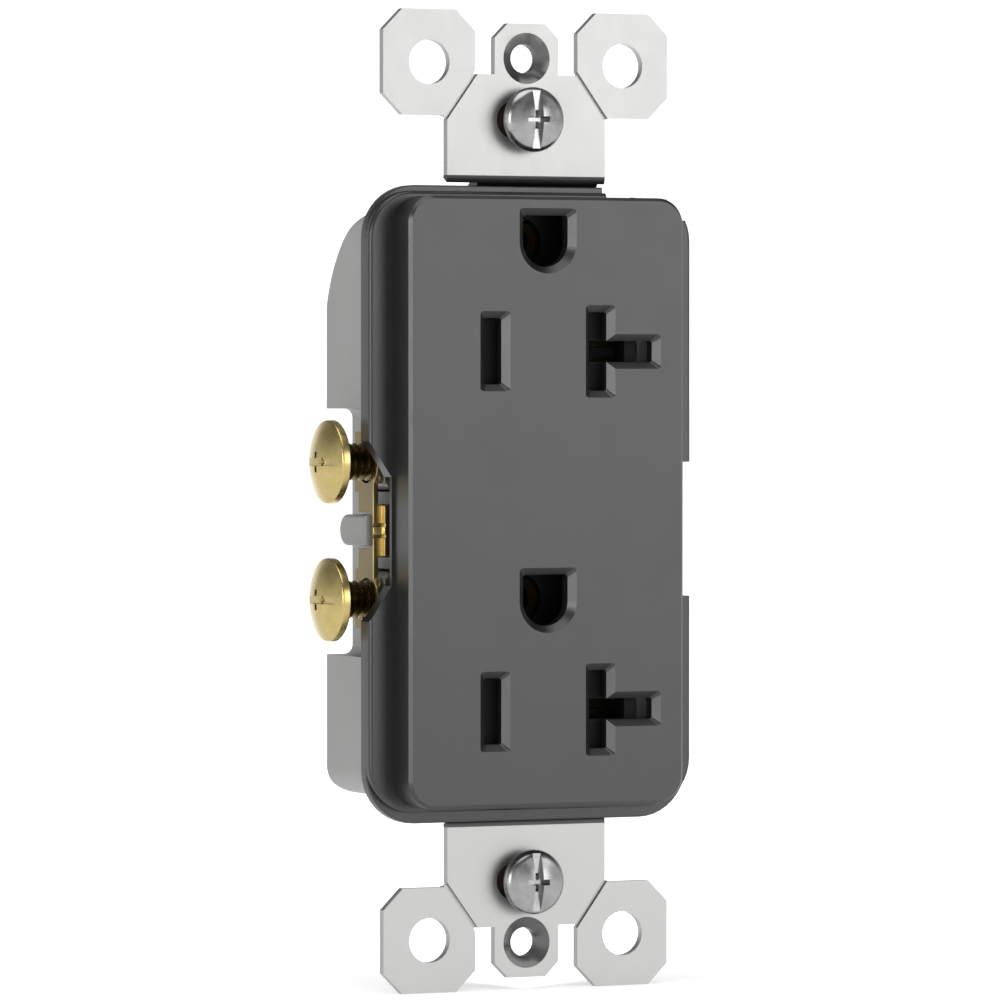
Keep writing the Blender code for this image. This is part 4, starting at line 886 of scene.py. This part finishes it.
cuts += [cut_block((-NECK_X, FAR), strap_room, (SKIRT_Z, 2 * FAR)),
         cut_block((-NECK_X, 5.7 * MM), strap_room, (-SKIRT_Z, -2 * FAR)),
         cut_block((-9.85 * MM, 9.85 * MM), strap_room, (-34.45 * MM, -2 * FAR)),
         cut_block((CORNER_X, FAR), (SKIRT_FRONT + 1 * MM, FAR), (CORNER_Z, 2 * FAR), 1 * MM),
         cut_block((FACE_X + 0.01 * MM, FAR), (SKIRT_FRONT - 1 * MM, FAR), (CORNER_Z, 2 * FAR)),
         cut_block((CORNER_X, FAR), (SKIRT_FRONT - 1 * MM, FAR), (FACE_Z + 0.01 * MM, 2 * FAR))]
combine(cover, "DIFFERENCE", cuts)
joined = [rod("post", "Y", place, 4.6 * MM, POST_FRONT, SPIGOT_BACK) for place in POSTS]
joined.append(cut_block((-15.45 * MM, 15.45 * MM), (POST_FRONT, RIM_BACK), (-4.2 * MM, -3.2 * MM)))
combine(cover, "UNION", joined)
combine(cover, "DIFFERENCE", [rod("bore", "Y", place, 3.0 * MM, -4.2 * MM, 5 * MM, 20) for place in POSTS])
stand_in(cover, "front_cover")

# %% [markdown]
# Back body. A deep box in lighter plastic. The recess in each side has round inner corners from the mould,
# and the barrier between the two terminals ends in a round nose.

# %% Body
BODY_FRONT, BODY_BACK = 1.2 * MM, 13.5 * MM
ROOM_BACK, ROOM_X, ROOM_Z = 12.3 * MM, 16.25 * MM, 30.75 * MM
STRAP_BACK, TAB_Z = 2.5 * MM, 26.65 * MM
MIDDLE_X, WALL_X, GRIP_X, RECESS_X = 3.3 * MM, 4.1 * MM, 8.2 * MM, 14.4 * MM
RIB_X, RIB_Y, RIB_Z = (12.9 * MM, 17.5 * MM), (3.4 * MM, 10.2 * MM), (-4.9 * MM, -1.5 * MM)
BOSS_BACK = 12.9 * MM
body = slab("body_moulding", (-BODY_X, BODY_X), (BODY_FRONT, BODY_BACK), (-BODY_Z, BODY_Z), corner=3.0 * MM,
            steps=12)
edit(body)
round_rim(1, BODY_BACK, 0.7 * MM, 5)
bpy.ops.object.mode_set(mode="OBJECT")
rooms = [cut_block((-MIDDLE_X, MIDDLE_X), (-FAR, ROOM_BACK), (-ROOM_Z, ROOM_Z)),
         cut_block((-5.7 * MM, 5.7 * MM), (-FAR, STRAP_BACK), (-31.25 * MM, 31.25 * MM)),
         cut_block((-NECK_X, 15.3 * MM), (-FAR, STRAP_BACK), (TAB_Z, 2 * FAR)),
         cut_block((-NECK_X, 5.7 * MM), (-FAR, STRAP_BACK), (-23.75 * MM, -2 * FAR))]
for side in (-1, 1):
    rooms += [cut_block((side * WALL_X, side * GRIP_X), (-FAR, ROOM_BACK), (-ROOM_Z, 21.65 * MM)),
              cut_block((side * WALL_X, side * RIB_X[0]), (-FAR, ROOM_BACK), (-19.5 * MM, 12.6 * MM)),
              cut_block((side * WALL_X, side * ROOM_X), (-FAR, ROOM_BACK), (-ROOM_Z, -18.5 * MM)),
              cut_block((side * 7.2 * MM, side * ROOM_X), (-FAR, 8.3 * MM), (11.6 * MM, 26.0 * MM))]
combine(body, "DIFFERENCE", rooms)
combine(body, "UNION", [rod("boss", "Y", place, 6.6 * MM, BODY_FRONT, BOSS_BACK) for place in POSTS])
for side in (-1, 1):
    cuts = [cut_block((side * RECESS_X, side * FAR), (-FAR, FAR), (-17.0 * MM, 10.1 * MM), 1.0 * MM)]
    for z in TERMINAL_Z:
        cuts += [cut_block((side * GRIP_X, side * FAR), (0.9 * MM, 7.5 * MM), about(z, 3.3 * MM)),
                 rod("way", "X", (TERMINAL_Y, z), 4.7 * MM, side * GRIP_X, side * FAR)]
    combine(body, "DIFFERENCE", cuts)
    rib = block("rib", (side * RIB_X[0], side * RIB_X[1]), RIB_Y, RIB_Z)
    pick("EDGE", lambda ends: all(at(e.y, RIB_Y[1]) for e in ends) and at(ends[0].z, ends[1].z))
    round_picked(1.65 * MM, 10)
    round_rim(0, side * RIB_X[1], 0.4 * MM, 4)
    bpy.ops.object.mode_set(mode="OBJECT")
    combine(body, "UNION", [rib])
    combine(body, "DIFFERENCE", [cut_block((side * GRIP_X, side * FAR), (-FAR, RIB_Y[0]), (-6.4 * MM, 0.0))])
print("body with recesses:", len(body.data.polygons), "faces")

# %% [markdown]
# Shoulders. The top corners of the body fall away in a large arc, which lets the receptacle tip into its box,
# and both ends of its back are round. Each cutter is what is left of a block when a cylinder is taken out.


# %% Shoulders, round ends and screw holes
def outside_arc(x, centre, radius, z, sides):
    """What lies outside a cylinder along X, behind its axis and past a level: a cutter for a round corner."""
    corner = cut_block(x, (centre[0], FAR), z)
    return combine(corner, "DIFFERENCE", [rod("arc", "X", centre, radius * 2, -2 * FAR, 2 * FAR, sides)])


SHOULDER, SHOULDER_X = (-1.5 * MM, 17.25 * MM), 9.7 * MM
END_Y, END_Z = 10.5 * MM, 29.25 * MM
cuts = [outside_arc((side * SHOULDER_X, side * FAR), SHOULDER, 15 * MM, (SHOULDER[1], 2 * FAR), 128)
        for side in (-1, 1)]
cuts += [outside_arc((-FAR, FAR), (END_Y, sign * END_Z), 3 * MM, (sign * END_Z, sign * 2 * FAR), 64)
         for sign in (-1, 1)]
for x, z in POSTS:
    seat = 8.8 * MM if z > 0 else 11.7 * MM
    cuts += [rod("bore", "Y", (x, z), 3.0 * MM, NOTCH_BACK, FAR, 20),
             rod("sink", "Y", (x, z), 5.0 * MM, seat - 0.3 * MM, FAR, 32)]
cuts.append(cut_block((14.7 * MM, FAR), (-FAR, 10.9 * MM), (TAB_Z, 2 * FAR)))
combine(body, "DIFFERENCE", cuts)
stand_in(body, "back_body")

# %% [markdown]
# Sheet metal edges. Punched sheet has one edge drawn slightly round and one with a fine burr that is tumbled
# off. A narrow round edge on a copy of each piece catches the light, which a knife-sharp edge cannot do.


# %% Soft edges on sheet pieces
def softened(node, width):
    """A merged copy of a CAD piece with its sharp edges rounded."""
    start_clean()
    source = nodes[node]
    source.select_set(True)
    bpy.context.view_layer.objects.active = source
    bpy.ops.object.duplicate()
    made = bpy.context.object
    made.name = node + "_soft"
    bpy.ops.object.parent_clear(type="CLEAR_KEEP_TRANSFORM")
    bpy.ops.object.transform_apply(location=True, rotation=True, scale=True)
    bpy.ops.object.mode_set(mode="EDIT")
    bpy.ops.mesh.select_mode(type="EDGE")
    bpy.ops.mesh.select_all(action="SELECT")
    bpy.ops.mesh.remove_doubles(threshold=0.001 * MM)
    bpy.ops.mesh.dissolve_limited(angle_limit=math.radians(1))
    bpy.ops.object.mode_set(mode="OBJECT")
    modifier = made.modifiers.new("edges", "BEVEL")
    modifier.width = width
    modifier.segments = 2
    modifier.limit_method = "ANGLE"
    modifier.angle_limit = math.radians(50)
    bpy.ops.object.modifier_apply(modifier=modifier.name)
    stand_in(made, node)


softened("strap", 0.1 * MM)
for side in SIDES:
    softened(side + "_strip", 0.06 * MM)
    for end in ENDS:
        softened(f"clamp_{side}_{end}", 0.12 * MM)
for end in ENDS:
    softened("screw_retainer_" + end, 0.08 * MM)

# Nothing modelled here may stand outside the box of the packed part.

# %% [markdown]
# The end hides the CAD pieces that have a stand-in and hangs every new piece on its moving body.
